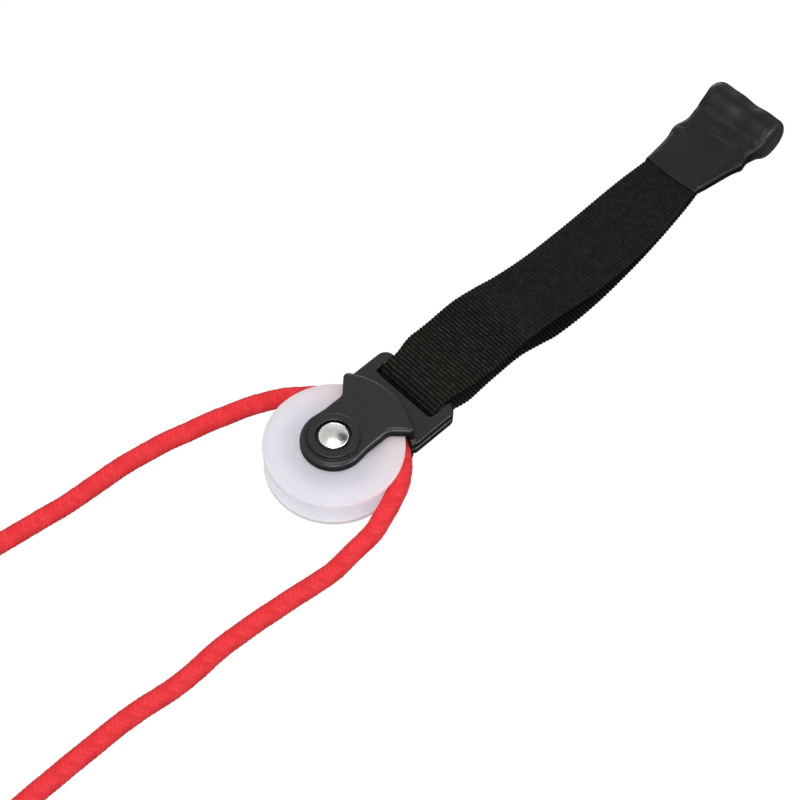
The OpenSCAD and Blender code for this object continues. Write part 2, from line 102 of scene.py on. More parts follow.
# ---------------------------------------------------------------- numeric helpers
def metres(x, y, z):
    return (x * MILLIMETRE, y * MILLIMETRE, z * MILLIMETRE)


def smoothstep(x, start, end):
    t = np.clip((x - start) / (end - start), 0, 1)
    return t * t * (3 - 2 * t)


def unit(vectors):
    return vectors / np.linalg.norm(vectors, axis=1)[:, None]


def triples(x, y, z):
    """Points (n, 3) from coordinates that broadcast against each other."""
    return np.stack(np.broadcast_arrays(x, y, z), -1).reshape(-1, 3)


def smooth_path(points, step):
    """The CAD source's Hermite curve through its control points, with steps of about step."""
    points = np.array(points, float)
    before = np.concatenate([points[:1], points[:-1]])
    after = np.concatenate([points[1:], points[-1:]])
    reach = np.linalg.norm(after - points, axis=1) + np.linalg.norm(points - before, axis=1)
    slopes = (after - before) / reach[:, None]
    pieces = []
    for i in range(len(points) - 1):
        start, end = points[i], points[i + 1]
        length = np.linalg.norm(end - start)
        count = max(2, int(round(length / step)))
        is_last = i == len(points) - 2
        t = (np.arange(count + is_last) / count)[:, None]
        pieces.append(
            (2 * t**3 - 3 * t**2 + 1) * start
            + (t**3 - 2 * t**2 + t) * slopes[i] * length
            + (3 * t**2 - 2 * t**3) * end
            + (t**3 - t**2) * slopes[i + 1] * length
        )
    return np.concatenate(pieces)


def arc_length(path):
    return np.concatenate([[0], np.cumsum(np.linalg.norm(np.diff(path, axis=0), axis=1))])


def resample(at, along, path):
    """Points of the path at the given arc lengths."""
    return np.stack([np.interp(at, along, column) for column in path.T], 1)


def curve(table, x):
    """Smooth one-value curve through a table of (stations, values)."""
    path = smooth_path(np.array(table, float).T, 0.5)
    path = path[np.argsort(path[:, 0], kind="stable")]
    return np.interp(x, path[:, 0], path[:, 1])


def polar(radius, degrees, z):
    angle = math.radians(degrees)
    return (radius * math.cos(angle), radius * math.sin(angle), z)


LATTICE = np.random.default_rng(3).random((64, 64, 64))


def value_noise(points, cell):
    """Smooth noise in -1..1 at points (n, 3), with cells of the given size."""
    scaled = np.asarray(points, float) / cell + 17.3
    low = np.floor(scaled).astype(int)
    frac = scaled - low
    x, y, z = (frac * frac * (3 - 2 * frac)).T
    ends = (low % 64, (low + 1) % 64)

    def at(i, j, k):
        return LATTICE[ends[i][:, 0], ends[j][:, 1], ends[k][:, 2]]

    def layer(k):
        near = at(0, 0, k) * (1 - x) + at(1, 0, k) * x
        far = at(0, 1, k) * (1 - x) + at(1, 1, k) * x
        return near * (1 - y) + far * y

    return (layer(0) * (1 - z) + layer(1) * z) * 2 - 1


def layered_noise(points, cell, octaves):
    """Octaves of noise, each half as large and half as strong as the one before."""
    weights = [0.5**k for k in range(octaves)]
    layers = [w * value_noise(points + 31.7 * k, cell / 2**k) for k, w in enumerate(weights)]
    return sum(layers) / sum(weights)


# ---------------------------------------------------------------- mesh helpers
def make(name, verts, faces, mat, more_faces=(), attrs=None, smooth=True):
    """A mesh object from millimetre vertices, with optional point attributes."""
    faces = np.asarray(faces, int).tolist() + np.asarray(more_faces, int).tolist()
    mesh = bpy.data.meshes.new(name)
    mesh.from_pydata((np.asarray(verts, float) * MILLIMETRE).tolist(), [], faces)
    if len(faces) > 100:  # every skin faces outwards; flat cards are left as drawn
        bm = bmesh.new()
        bm.from_mesh(mesh)
        bmesh.ops.recalc_face_normals(bm, faces=bm.faces)
        bm.to_mesh(mesh)
        bm.free()
    for key, values in (attrs or {}).items():
        attribute = mesh.attributes.new(key, "FLOAT", "POINT")
        attribute.data.foreach_set("value", np.asarray(values, np.float32))
    mesh.polygons.foreach_set("use_smooth", [smooth] * len(mesh.polygons))
    mesh.update()
    obj = bpy.data.objects.new(name, mesh)
    bpy.context.scene.collection.objects.link(obj)
    mesh.materials.append(mat)
    return obj


def mount(obj, owner, cad_node):
    """A rigid piece that moves with its owner and stands in for one CAD node."""
    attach(obj, owner)
    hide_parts(cad_node)


def grid_faces(rows, cols, wrap_rows=False, wrap_cols=False, offset=0, flip=False):
    u, v = np.meshgrid(
        np.arange(rows if wrap_rows else rows - 1),
        np.arange(cols if wrap_cols else cols - 1),
        indexing="ij",
    )
    next_u, next_v = (u + 1) % rows, (v + 1) % cols
    corners = [u * cols + v, next_u * cols + v, next_u * cols + next_v, u * cols + next_v]
    faces = np.stack(corners, -1).reshape(-1, 4) + offset
    return faces[:, ::-1] if flip else faces


def revolve(name, profile, mat, count, closed=True, shape=None, centre=None):
    """Turns a profile of (radius, height) about Z.

    A closed profile is a ring section; an open one is closed by fans on the axis. shape reworks
    the vertices. With a centre, the axis is laid along Y through it.
    """
    profile = np.array(profile, float)
    angle = np.linspace(0, 2 * np.pi, count, endpoint=False)
    radius, height = profile[:, :1], profile[:, 1:]
    verts = triples(radius * np.cos(angle), radius * np.sin(angle), height)
    if shape is not None:
        verts = shape(verts)
    quads = grid_faces(len(profile), count, wrap_rows=closed, wrap_cols=True, flip=True)
    fans = []
    if not closed:
        first, last = len(verts), (len(profile) - 1) * count
        verts = np.concatenate([verts, [[0, 0, profile[0, 1]], [0, 0, profile[-1, 1]]]])
        for k in range(count):
            following = (k + 1) % count
            fans += [[first, following, k], [first + 1, last + k, last + following]]
    if centre is not None:
        verts = np.stack([verts[:, 0], verts[:, 2], -verts[:, 1]], 1) + np.array(centre, float)
    return make(name, verts, quads, mat, fans)


def fillet(points, radii, seg):
    """Rounds the corners of a 2-D outline; a radius of 0 leaves a corner as it is."""
    points = [np.array(point, float) for point in points]
    out = []
    for i, (corner, radius) in enumerate(zip(points, radii)):
        if radius <= 0:
            out.append(corner)
            continue
        back, ahead = points[i - 1] - corner, points[(i + 1) % len(points)] - corner
        back_l, ahead_l = np.linalg.norm(back), np.linalg.norm(ahead)
        back, ahead = back / back_l, ahead / ahead_l
        half = math.acos(float(back @ ahead)) / 2
        cut = min(radius / math.tan(half), 0.48 * back_l, 0.48 * ahead_l)
        radius = cut * math.tan(half)
        middle = (back + ahead) / np.linalg.norm(back + ahead)
        centre = corner + middle * (radius / math.sin(half))
        start, end = corner + back * cut - centre, corner + ahead * cut - centre
        angle = math.atan2(start[1], start[0])
        turn = math.atan2(start[0] * end[1] - start[1] * end[0], start @ end)
        for k in range(seg + 1):
            t = angle + turn * k / seg
            out.append(centre + radius * np.array([math.cos(t), math.sin(t)]))
    return [tuple(point) for point in out]


def densify(points, step, closed=True):
    """Adds points along the long edges of an outline."""
    points = [np.array(point, float) for point in points]
    out = []
    for i in range(len(points) if closed else len(points) - 1):
        start, end = points[i], points[(i + 1) % len(points)]
        count = max(1, int(math.ceil(np.linalg.norm(end - start) / step)))
        out += [tuple(start + (end - start) * j / count) for j in range(count)]
    if not closed:
        out.append(tuple(points[-1]))
    return out


# ---------------------------------------------------------------- signed distances
def polygon_distance(x, y, polygon):
    polygon = np.array(polygon, float)
    square = np.full(x.shape, 1e9)
    sign = np.ones(x.shape)
    for start, end in zip(polygon, np.roll(polygon, 1, axis=0)):
        edge_x, edge_y = end - start
        from_x, from_y = x - start[0], y - start[1]
        t = (from_x * edge_x + from_y * edge_y) / (edge_x * edge_x + edge_y * edge_y + 1e-12)
        t = np.clip(t, 0, 1)
        square = np.minimum(square, (from_x - edge_x * t) ** 2 + (from_y - edge_y * t) ** 2)
        above, below, beside = y >= start[1], y < end[1], edge_x * from_y > edge_y * from_x
        crossed = (above & below & beside) | (~above & ~below & ~beside)
        sign = np.where(crossed, -sign, sign)
    return sign * np.sqrt(square)


def round_overlap(first, second, radius):
    """Where both distances are inside, with the edge between them rounded."""
    first, second = first + radius, second + radius
    outside = np.hypot(np.maximum(first, 0), np.maximum(second, 0))
    return np.minimum(np.maximum(first, second), 0) + outside - radius


def extrude(outline, z, low, high, low_r, high_r):
    """Outline distance extruded from low to high, with its edges rounded by low_r and high_r."""
    middle, half = (low + high) / 2, (high - low) / 2
    lower = round_overlap(outline, middle - z - half, low_r)
    upper = round_overlap(outline, z - middle - half, high_r)
    return np.where(z > middle, upper, lower)


def blend_min(first, second, width):
    t = np.clip(0.5 + 0.5 * (second - first) / width, 0, 1)
    return second * (1 - t) + first * t - width * t * (1 - t)


def blend_max(first, second, width):
    return -blend_min(-first, -second, width)


def gradient(field, verts, step):
    x, y, z = verts.T
    return np.stack(
        [
            field(x + step, y, z) - field(x - step, y, z),
            field(x, y + step, z) - field(x, y - step, z),
            field(x, y, z + step) - field(x, y, z - step),
        ],
        1,
    ) / (2 * step)


def surface_nets(field, low, high, spacing):
    """Vertices and quads of the zero level of field(x, y, z), vertices drawn onto the level."""
    axes = [np.arange(low[i], high[i] + spacing, spacing) for i in range(3)]
    values = field(*np.meshgrid(*axes, indexing="ij"))
    inside = values < 0
    size = values.shape
    corners = [(i, j, k) for i in (0, 1) for j in (0, 1) for k in (0, 1)]
    count = 0
    for corner in corners:
        window = tuple(slice(c, size[i] - 1 + c) for i, c in enumerate(corner))
        count = count + inside[window].astype(np.int8)
    active = (count > 0) & (count < 8)
    cells = np.argwhere(active)
    ids = -np.ones(active.shape, np.int64)
    ids[active] = np.arange(len(cells))

    # one vertex per active cell, at the mean of its edge crossings
    total, crossings = np.zeros((len(cells), 3)), np.zeros(len(cells))
    for corner in corners:
        for axis in range(3):
            if corner[axis] == 1:
                continue
            other = list(corner)
            other[axis] = 1
            start = values[tuple((cells + corner).T)]
            end = values[tuple((cells + other).T)]
            cross = (start < 0) != (end < 0)
            place = np.repeat(np.array([corner], float), len(cells), 0)
            place[:, axis] = np.where(cross, start / np.where(cross, start - end, 1), 0)
            total[cross] += place[cross]
            crossings[cross] += 1
    verts = (cells + total / crossings[:, None]) * spacing + np.array([axis[0] for axis in axes])

    # one quad round every grid edge that crosses the level
    quads = []
    for axis in range(3):
        side_a, side_b = [(1, 2), (2, 0), (0, 1)][axis]
        lower, upper = [slice(None)] * 3, [slice(None)] * 3
        lower[axis], upper[axis] = slice(0, -1), slice(1, None)
        inside_first = inside[tuple(lower)]
        edges = np.argwhere(inside_first != inside[tuple(upper)])
        keep = (edges[:, side_a] > 0) & (edges[:, side_b] > 0)
        keep &= (edges[:, side_a] < size[side_a] - 1) & (edges[:, side_b] < size[side_b] - 1)
        edges = edges[keep]
        ring = []
        for shift_a, shift_b in ((0, 0), (-1, 0), (-1, -1), (0, -1)):
            cell = edges.copy()
            cell[:, side_a] += shift_a
            cell[:, side_b] += shift_b
            ring.append(ids[tuple(cell.T)])
        quad = np.stack(ring, 1)
        quads.append(np.where(inside_first[tuple(edges.T)][:, None], quad, quad[:, ::-1]))

    for _ in range(2):
        slope = gradient(field, verts, 0.25 * spacing)
        steepness = np.maximum((slope * slope).sum(1), 0.25)
        move = -(field(*verts.T) / steepness)[:, None] * slope
        distance = np.maximum(np.linalg.norm(move, axis=1), 1e-9)
        verts = verts + move * np.minimum(1, 0.45 * spacing / distance)[:, None]
    return verts, np.concatenate(quads)


# ---------------------------------------------------------------- shader trees
class Tree:
    """Short way to write a node tree. Values may be sockets, numbers or colours."""

    def __init__(self, tree):
        self.tree = tree
        tree.nodes.clear()

    def node(self, kind, **settings):
        node = self.tree.nodes.new(kind)
        for key, value in settings.items():
            setattr(node, key, value)
        return node

    def put(self, socket, value):
        if isinstance(value, bpy.types.NodeSocket):
            self.tree.links.new(value, socket)
        else:
            socket.default_value = (*value[:3], 1) if socket.type == "RGBA" else value

    def separate(self, vector):
        node = self.node("ShaderNodeSeparateXYZ")
        self.put(node.inputs[0], vector)
        return node.outputs

    def ramp(self, value, stops):
        """Stops are (position, grey or colour)."""
        node = self.node("ShaderNodeValToRGB")
        elements = node.color_ramp.elements
        while len(elements) > 1:
            elements.remove(elements[-1])
        elements[0].position = stops[0][0]
        for i, (place, colour) in enumerate(stops):
            element = elements.new(place) if i else elements[0]
            element.color = (*colour, 1) if hasattr(colour, "__len__") else (colour,) * 3 + (1,)
        self.put(node.inputs[0], value)
        return node.outputs[0]

    def math(self, operation, first, second=None, clamp=False):
        node = self.node("ShaderNodeMath", operation=operation, use_clamp=clamp)
        self.put(node.inputs[0], first)
        if second is not None:
            self.put(node.inputs[1], second)
        return node.outputs[0]

    def times(self, first, second):
        return self.math("MULTIPLY", first, second)

    def plus(self, first, second):
        return self.math("ADD", first, second)


class Shader(Tree):
    """A material round one Principled BSDF."""

    def __init__(self, name):
        self.material = bpy.data.materials.new(name)
        self.material.use_nodes = True
        super().__init__(self.material.node_tree)
        self.out = self.node("ShaderNodeOutputMaterial")
        self.bsdf = self.node("ShaderNodeBsdfPrincipled")
        self.put(self.out.inputs[0], self.bsdf.outputs[0])

    def finish(self, **inputs):
        for key, value in inputs.items():
            self.put(self.bsdf.inputs[key.replace("_", " ")], value)
        return self.material

    def coord(self, output="Object"):
        return self.node("ShaderNodeTexCoord").outputs[output]

    def facing(self, low=0.22, high=0.62):
        """0 where the surface stands upright in the part's frame, 1 where it lies flat."""
        normal_z = self.separate(self.coord("Normal"))[2]
        return self.ramp(self.math("ABSOLUTE", normal_z), [(low, 0.0), (high, 1.0)])

    def texture(self, kind, scale, **settings):
        node = self.node(kind, **settings)
        self.put(node.inputs["Vector"], self.coord())
        node.inputs["Scale"].default_value = scale
        return node

    def noise(self, scale, detail=3.0, rough=0.5, distort=0.0):
        node = self.texture("ShaderNodeTexNoise", scale)
        node.inputs["Detail"].default_value = detail
        node.inputs["Roughness"].default_value = rough
        node.inputs["Distortion"].default_value = distort
        return node.outputs[0]

    def mix(self, amount, first, second, mode="MIX"):
        node = self.node("ShaderNodeMix", data_type="RGBA", blend_type=mode)
        for index, value in ((0, amount), (6, first), (7, second)):
            self.put(node.inputs[index], value)
        return node.outputs[2]

    def tint(self, base, mask, amount, colour):
        """The base with a colour over it where the mask is 1."""
        return self.mix(self.times(mask, amount), base, colour)

    def attribute(self, name):
        return self.node("ShaderNodeAttribute", attribute_name=name).outputs["Fac"]

    def bump(self, height, strength, distance, under=None):
        node = self.node("ShaderNodeBump")
        self.put(node.inputs["Height"], height)
        node.inputs["Strength"].default_value = strength
        node.inputs["Distance"].default_value = distance
        if under is not None:
            self.put(node.inputs["Normal"], under)
        return node.outputs[0]


# ---------------------------------------------------------------- materials
def cord_material():
    mat = Shader("braided_cord")
    tone, crest_light = mat.attribute("tone"), mat.attribute("crest_light")
    fibre = mat.noise(scale=5200, detail=2, rough=0.6)
    patch = mat.noise(scale=160, detail=3, rough=0.6)
    yarn_tones = [
        (0.0, (0.76, 0.024, 0.033)), (0.5, (0.84, 0.031, 0.040)), (1.0, (0.91, 0.044, 0.053)),
    ]
    base = mat.ramp(tone, yarn_tones)
    # painted shade between the yarns, painted highlights on pale fibre flecks, then dull patches
    # painted shade: the valleys between the yarns are tinted dark
    between = mat.math("SUBTRACT", 1.0, crest_light)
    base = mat.tint(base, between, amount=0.75, colour=(0.50, 0.010, 0.016))
    # painted highlight: pale flecks stand for light caught by the fibres
    fibre_fleck = mat.ramp(fibre, [(0.45, 0.0), (0.75, 1.0)])
    base = mat.tint(base, fibre_fleck, amount=0.22, colour=(1.0, 0.10, 0.105))
    dull = mat.ramp(patch, [(0.35, 1.0), (0.6, 0.0)])
    base = mat.tint(base, dull, amount=0.10, colour=(0.70, 0.018, 0.026))
    return mat.finish(
        Base_Color=base, Roughness=0.70, Specular_IOR_Level=0.18,
        Sheen_Weight=0.10, Sheen_Roughness=0.5, Sheen_Tint=(1.0, 0.35, 0.35),
        Normal=mat.bump(fibre, strength=0.35, distance=0.00006),
    )


def webbing_material():
    mat = Shader("ribbed_webbing")
    tone, crest_light = mat.attribute("tone"), mat.attribute("crest_light")
    fibre = mat.noise(scale=4200, detail=2, rough=0.6)
    patch = mat.noise(scale=60, detail=3, rough=0.55)
    bead_tones = [
        (0.0, (0.0065, 0.0068, 0.0060)), (0.5, (0.0125, 0.0130, 0.0113)),
        (1.0, (0.0235, 0.0240, 0.0207)),
    ]
    base = mat.ramp(tone, bead_tones)
    # painted shade: darker in the valleys between ribs and beads
    between = mat.ramp(crest_light, [(0.15, 1.0), (0.75, 0.0)])
    base = mat.mix(between, base, (0.0046, 0.0047, 0.0040))
    fibre_fleck = mat.ramp(fibre, [(0.5, 0.0), (0.8, 1.0)])
    base = mat.tint(base, fibre_fleck, amount=0.30, colour=(0.030, 0.030, 0.026))
    olive = mat.ramp(patch, [(0.4, 0.0), (0.7, 1.0)])
    base = mat.tint(base, olive, amount=0.3, colour=(0.0105, 0.0118, 0.0075))
    # darker from 96 mm along X on; the ramp spans 0.2 m
    place = mat.times(mat.separate(mat.coord())[0], 5.0)
    along = mat.ramp(place, [(0.30, (1.05, 1.05, 1.0)), (0.48, (0.44, 0.44, 0.46))])
    return mat.finish(
        Base_Color=mat.mix(1.0, base, along, "MULTIPLY"), Roughness=0.75,
        Specular_IOR_Level=mat.ramp(crest_light, [(0.3, 0.0), (0.95, 0.16)]), Sheen_Weight=0.0,
        Normal=mat.bump(fibre, strength=0.4, distance=0.00008),
    )


def plastic_material(
    name, dark, light, rough=0.38, grain=900, grain_depth=0.00002, spec=0.5, wear=0.25, side=1.0
):
    """Moulded plastic: fine grain, faint flow marks, paler worn edges.

    side below 1 paints shade on the upright walls: a darker base colour, that share of the specular
    level and more roughness.
    """
    mat = Shader(name)
    fine = mat.noise(scale=grain, detail=4, rough=0.6)
    flow = mat.noise(scale=38, detail=3, rough=0.5, distort=0.6)
    base = mat.ramp(flow, [(0.3, dark), (0.7, light)])
    pointiness = mat.node("ShaderNodeNewGeometry").outputs["Pointiness"]
    edge = mat.ramp(pointiness, [(0.505, 0.0), (0.56, 1.0)])
    scuff = mat.ramp(mat.noise(scale=260, detail=5, rough=0.7), [(0.45, 0.0), (0.7, 1.0)])
    worn = tuple(min(1, c * 3.2 + 0.02) for c in light)
    base = mat.tint(base, mat.times(edge, scuff), amount=wear, colour=worn)
    roughness = mat.plus(mat.times(fine, 0.12), rough - 0.06)
    level = spec
    if side < 1:
        face = mat.facing()
        # painted shade: upright walls get a darker colour than flat faces
        base = mat.mix(face, tuple(c * 0.45 for c in dark), base)
        level = mat.ramp(face, [(0.0, spec * side), (1.0, spec)])
        roughness = mat.plus(roughness, mat.ramp(face, [(0.0, 0.25), (1.0, 0.0)]))
    return mat.finish(
        Base_Color=base, Roughness=roughness, Specular_IOR_Level=level,
        Normal=mat.bump(fine, strength=0.25, distance=grain_depth),
    )


def vinyl_material():
    mat = Shader("vinyl_sleeve")
    fine = mat.noise(scale=700, detail=4, rough=0.55)
    creep = mat.noise(scale=120, detail=4, rough=0.6, distort=1.2)
    base = mat.ramp(
        mat.noise(scale=75, detail=3, rough=0.5),
        [(0.32, (0.0058, 0.0060, 0.0072)), (0.62, (0.0118, 0.0115, 0.0138))],
    )
    scuff = mat.ramp(mat.noise(scale=330, detail=5, rough=0.75), [(0.55, 0.0), (0.8, 1.0)])
    base = mat.tint(base, scuff, amount=0.25, colour=(0.022, 0.022, 0.023))
    # painted shade: upright sides get a flat dark colour and little specular; flat faces and the
    # rolled head, from about 0.22 m along X, keep the mottled dark colour and gloss
    place = mat.times(mat.separate(mat.coord())[0], 4.0)
    head = mat.ramp(place, [(0.85, 0.0), (0.89, 1.0)])
    face = mat.math("MAXIMUM", mat.facing(0.45, 0.95), head)
    creep_bump = mat.bump(creep, strength=0.045, distance=0.0003)
    return mat.finish(
        # painted shade: the upright sides take the flat dark colour
        Base_Color=mat.mix(face, (0.0055, 0.0055, 0.006), base),
        Roughness=mat.plus(mat.times(creep, 0.14), 0.33),
        Specular_IOR_Level=mat.ramp(face, [(0.0, 0.03), (1.0, 0.29)]),
        Normal=mat.bump(fine, strength=0.05, distance=0.00003, under=creep_bump),
    )


def nylon_material():
    """Milky nylon; a faint emission is painted light that stands for light passing through the
    wheel.
    """
    mat = Shader("milky_nylon")
    cloud = mat.noise(scale=55, detail=3, rough=0.5)
    fine = mat.noise(scale=1400, detail=3, rough=0.5)
    base = mat.ramp(cloud, [(0.3, (0.625, 0.620, 0.685)), (0.7, (0.655, 0.650, 0.715))])

    # painted light: glow of surfaces by the way they face, strongest below
    normal_z = mat.separate(mat.coord("Normal"))[2]
    glow = mat.ramp(
        mat.times(mat.plus(normal_z, 1.0), 0.5),
        [(0.30, 0.42), (0.46, 0.24), (0.80, 0.13), (0.97, 0.0)],
    )
    # painted light: glow inside the groove, by height in centimetres
    x, y, z = mat.separate(mat.coord())
    height = mat.times(mat.math("ABSOLUTE", z), 100.0)
    inside = mat.ramp(height, [(0.38, 0.16), (0.48, 0.0)])
    # painted light on the upward face, by radius as a share of the wheel's; strongest near the hub,
    # where it lifts the shade round the boss
    radius = mat.math("SQRT", mat.plus(mat.times(x, x), mat.times(y, y)))
    upward_painted_light = mat.ramp(
        mat.times(radius, 40.0),
        [(0.44, 0.26), (0.49, 0.19), (0.55, 0.10), (0.62, 0.045), (0.70, 0.025), (0.80, 0.062),
         (0.90, 0.085)],
    )
    upward_painted_light = mat.times(upward_painted_light, mat.ramp(normal_z, [(0.90, 0.0), (0.96, 1.0)]))

    turning = mat.texture(
        "ShaderNodeTexWave", 420, wave_type="RINGS", rings_direction="Z", wave_profile="SIN"
    )
    turning.inputs["Distortion"].default_value = 0.3
    ring_bump = mat.bump(turning.outputs[1], strength=0.05, distance=0.00003)
    return mat.finish(
        Base_Color=base, Roughness=mat.plus(mat.times(fine, 0.1), 0.30), Specular_IOR_Level=0.45,
        Subsurface_Weight=0.9, Subsurface_Scale=0.010, Subsurface_Anisotropy=0.2,
        Subsurface_Radius=(1.0, 0.9, 1.0), Emission_Color=(0.80, 0.79, 0.82),
        Emission_Strength=mat.plus(mat.plus(glow, inside), upward_painted_light),
        Normal=mat.bump(fine, strength=0.12, distance=0.00002, under=ring_bump),
    )


def steel_material():
    mat = Shader("rivet_steel")
    mottle = mat.noise(scale=620, detail=4, rough=0.62, distort=0.4)
    scratch = mat.noise(scale=2200, detail=3, rough=0.6)
    mottle_bump = mat.bump(mottle, strength=0.35, distance=0.0002)
    return mat.finish(
        Base_Color=mat.ramp(mottle, [(0.3, (0.78, 0.78, 0.745)), (0.7, (0.96, 0.96, 0.94))]),
        Metallic=1.0, Roughness=mat.plus(mat.times(mottle, 0.16), 0.15),
        Normal=mat.bump(scratch, strength=0.2, distance=0.00003, under=mottle_bump),
    )


def turned_metal_material(name, colour, rough):
    mat = Shader(name)
    lathe = mat.texture("ShaderNodeTexWave", 900, wave_type="BANDS", bands_direction="Z")
    tarnish = mat.noise(scale=300, detail=4, rough=0.6)
    return mat.finish(
        Base_Color=mat.ramp(tarnish, [(0.3, tuple(c * 0.75 for c in colour)), (0.7, colour)]),
        Metallic=1.0, Roughness=mat.plus(mat.times(tarnish, 0.2), rough),
        Normal=mat.bump(lathe.outputs[1], strength=0.15, distance=0.00003),
    )


def foam_material():
    mat = Shader("foam_rubber")
    cells = mat.texture("ShaderNodeTexVoronoi", 1500, feature="F1").outputs[0]
    fine = mat.noise(scale=2600, detail=4, rough=0.7)
    base = mat.ramp(fine, [(0.3, (0.0095, 0.0095, 0.0098)), (0.7, (0.022, 0.022, 0.0225))])
    # painted shade: darker in the pores, where the cell bump dents the skin
    base = mat.mix(mat.ramp(cells, [(0.0, 0.0), (0.6, 0.6)]), (0.006, 0.006, 0.006), base)
    cell_bump = mat.bump(cells, strength=0.5, distance=0.00025)
    return mat.finish(
        Base_Color=base, Roughness=0.88, Specular_IOR_Level=0.25, Sheen_Weight=0.05,
        Normal=mat.bump(fine, strength=0.4, distance=0.00012, under=cell_bump),
    )


def thread_material():
    mat = Shader("thread")
    twist = mat.texture(
        "ShaderNodeTexWave", 1200, wave_type="BANDS", bands_direction="DIAGONAL"
    ).outputs[1]
    # painted shade and highlight: darker in the twist's grooves, lighter on its ridges, following
    # the bump
    return mat.finish(
        Base_Color=mat.ramp(twist, [(0.2, (0.010, 0.010, 0.010)), (0.8, (0.035, 0.035, 0.034))]),
        Roughness=0.65, Normal=mat.bump(twist, strength=0.5, distance=0.0001),
    )


CORD = cord_material()
WEBBING = webbing_material()
BLOCK = plastic_material(
    "block_plastic", dark=(0.0160, 0.0160, 0.0162), light=(0.0190, 0.0190, 0.0192),
    rough=0.35, spec=0.36, wear=0.06, side=0.25,
)
CLAMP = plastic_material(
    "clamp_plastic", dark=(0.012, 0.012, 0.012), light=(0.017, 0.017, 0.017),
    rough=0.46, spec=0.36, wear=0.10,
)
CAP = plastic_material(
    "cap_plastic", dark=(0.014, 0.014, 0.0142), light=(0.020, 0.020, 0.0205),
    rough=0.42, spec=0.40, wear=0.12,
)
TUBE = plastic_material(
    "tube_plastic", dark=(0.020, 0.020, 0.021), light=(0.027, 0.027, 0.028), rough=0.35
)
VINYL = vinyl_material()
NYLON = nylon_material()
WASHER = plastic_material(
    "washer_nylon", dark=(0.72, 0.71, 0.70), light=(0.80, 0.79, 0.78), rough=0.35, wear=0.0
)
STEEL = steel_material()
WASHER_STEEL = turned_metal_material("washer_steel", colour=(0.62, 0.62, 0.60), rough=0.25)
BRASS = turned_metal_material("spacer_brass", colour=(0.80, 0.58, 0.27), rough=0.22)
FOAM = foam_material()
ROLL = plastic_material(
    "roll_rubber", dark=(0.035, 0.034, 0.033), light=(0.055, 0.053, 0.052),
    rough=0.7, grain=500, grain_depth=0.0001,
)
THREAD = thread_material()

# ---------------------------------------------------------------- cord paths
# Centre line on the wheel: radius, degrees from +X, z. Both sides share the start, mirrored.
ON_WHEEL = [
    (RUN_R, 0, 0), (RUN_R + 0.3, 12, 0), (21.6, 23, 0), (22.9, 33, 0), (23.3, 41, 0), (24.1, 51, 0),
]
LEFT_ON_WHEEL = [polar(*p) for p in ON_WHEEL + [(25.2, 62, 0), (26.6, 71, -0.3), (29.2, 79, -1.3)]]
RIGHT_ON_WHEEL = [polar(radius, -degrees, z) for radius, degrees, z in ON_WHEEL] + [
    polar(25, -61, 0), polar(26.3, -74, -0.2), polar(27.4, -85, -0.9), polar(28.9, -94, -1.9),
]
# Where each cord leaves the wheel
LEFT_PIVOT = np.array(polar(29.9, 80.5, -1.7))
RIGHT_PIVOT = np.array(polar(29.2, -96.2, -2.3))
# From the wheel to inside the clamps: x, y, z
LEFT_PATH = LEFT_ON_WHEEL + [
    tuple(LEFT_PIVOT + [-1.2, 1.3, -0.5]), (-2.5, 35.5, -4.1), (-8, 39.2, -6), (-15, 42, -7.3),
    (-26, 45.5, CORD_Z), (-40, 49, CORD_Z), (-56, 51.6, CORD_Z), (-74, 53.1, CORD_Z),
    (-92, 54.6, CORD_Z), (-112, 57.2, CORD_Z), (-155, 65, CORD_Z), (-215, 79, CORD_Z),
    (-280, 92, CORD_Z), (-334, 99, CORD_Z + 0.7), (-STRAND_X, LEFT_Y, CLAMP_Z),
    (-389.4, LEFT_Y, CLAMP_Z),
]
RIGHT_PATH = RIGHT_ON_WHEEL + [
    tuple(RIGHT_PIVOT + [-1.7, -0.4, -0.4]), (-10, -30.5, -4), (-18, -31, -6), (-26, -30.8, -7.3),
    (-37, -30, CORD_Z), (-49, -28.7, CORD_Z), (-62, -27.2, CORD_Z), (-78, -26.4, CORD_Z),
    (-98, -25.8, CORD_Z), (-118, -24.6, CORD_Z), (-155, -23.4, CORD_Z), (-205, -28, CORD_Z),
    (-265, -43, CORD_Z), (-329, -62.5, CORD_Z + 0.7), (-STRAND_X, -RIGHT_Y, CLAMP_Z),
    (-389.4, -RIGHT_Y, CLAMP_Z),
]
# Sideways waves of the slack cord: stations along X, shifts along Y
LEFT_SLACK = (
    [-200, -110, -100, -88, -80, -70, -62, -54, -44, -36, -28, -19, -10, 0],
    [0, 0, -0.1, -0.35, -0.85, -0.7, -0.45, -0.1, 0, 0.2, 0.05, 0.4, 0, 0],
)
RIGHT_SLACK = (
    [-200, -170, -146, -138, -130, -118, -108, -102, -94, -86, -80, -74, -66, -54, -46, -38, -30,
     -24, -19, -10, 0],
    [0, -0.4, -0.7, -0.4, -0.1, 0.4, 0.2, -0.3, -0.75, -0.5, 0, 0.25, 0.05, 0, 0.05, -0.2, -0.5,
     0, 0.25, -0.3, 0],
)

CARRIERS = 8  # yarns in each direction
TURN_L = 14.6  # length of one turn of a yarn
YARN_CELLS = 4096  # random lifts and tones along each yarn
BRAID_R = 3.36  # radius under the yarns' relief
# Rings that close a cut end: share of the radius, distance beyond the last row
END_RINGS = ((0.93, 0.35), (0.72, 0.62), (0.42, 0.66), (0.16, 0.58))


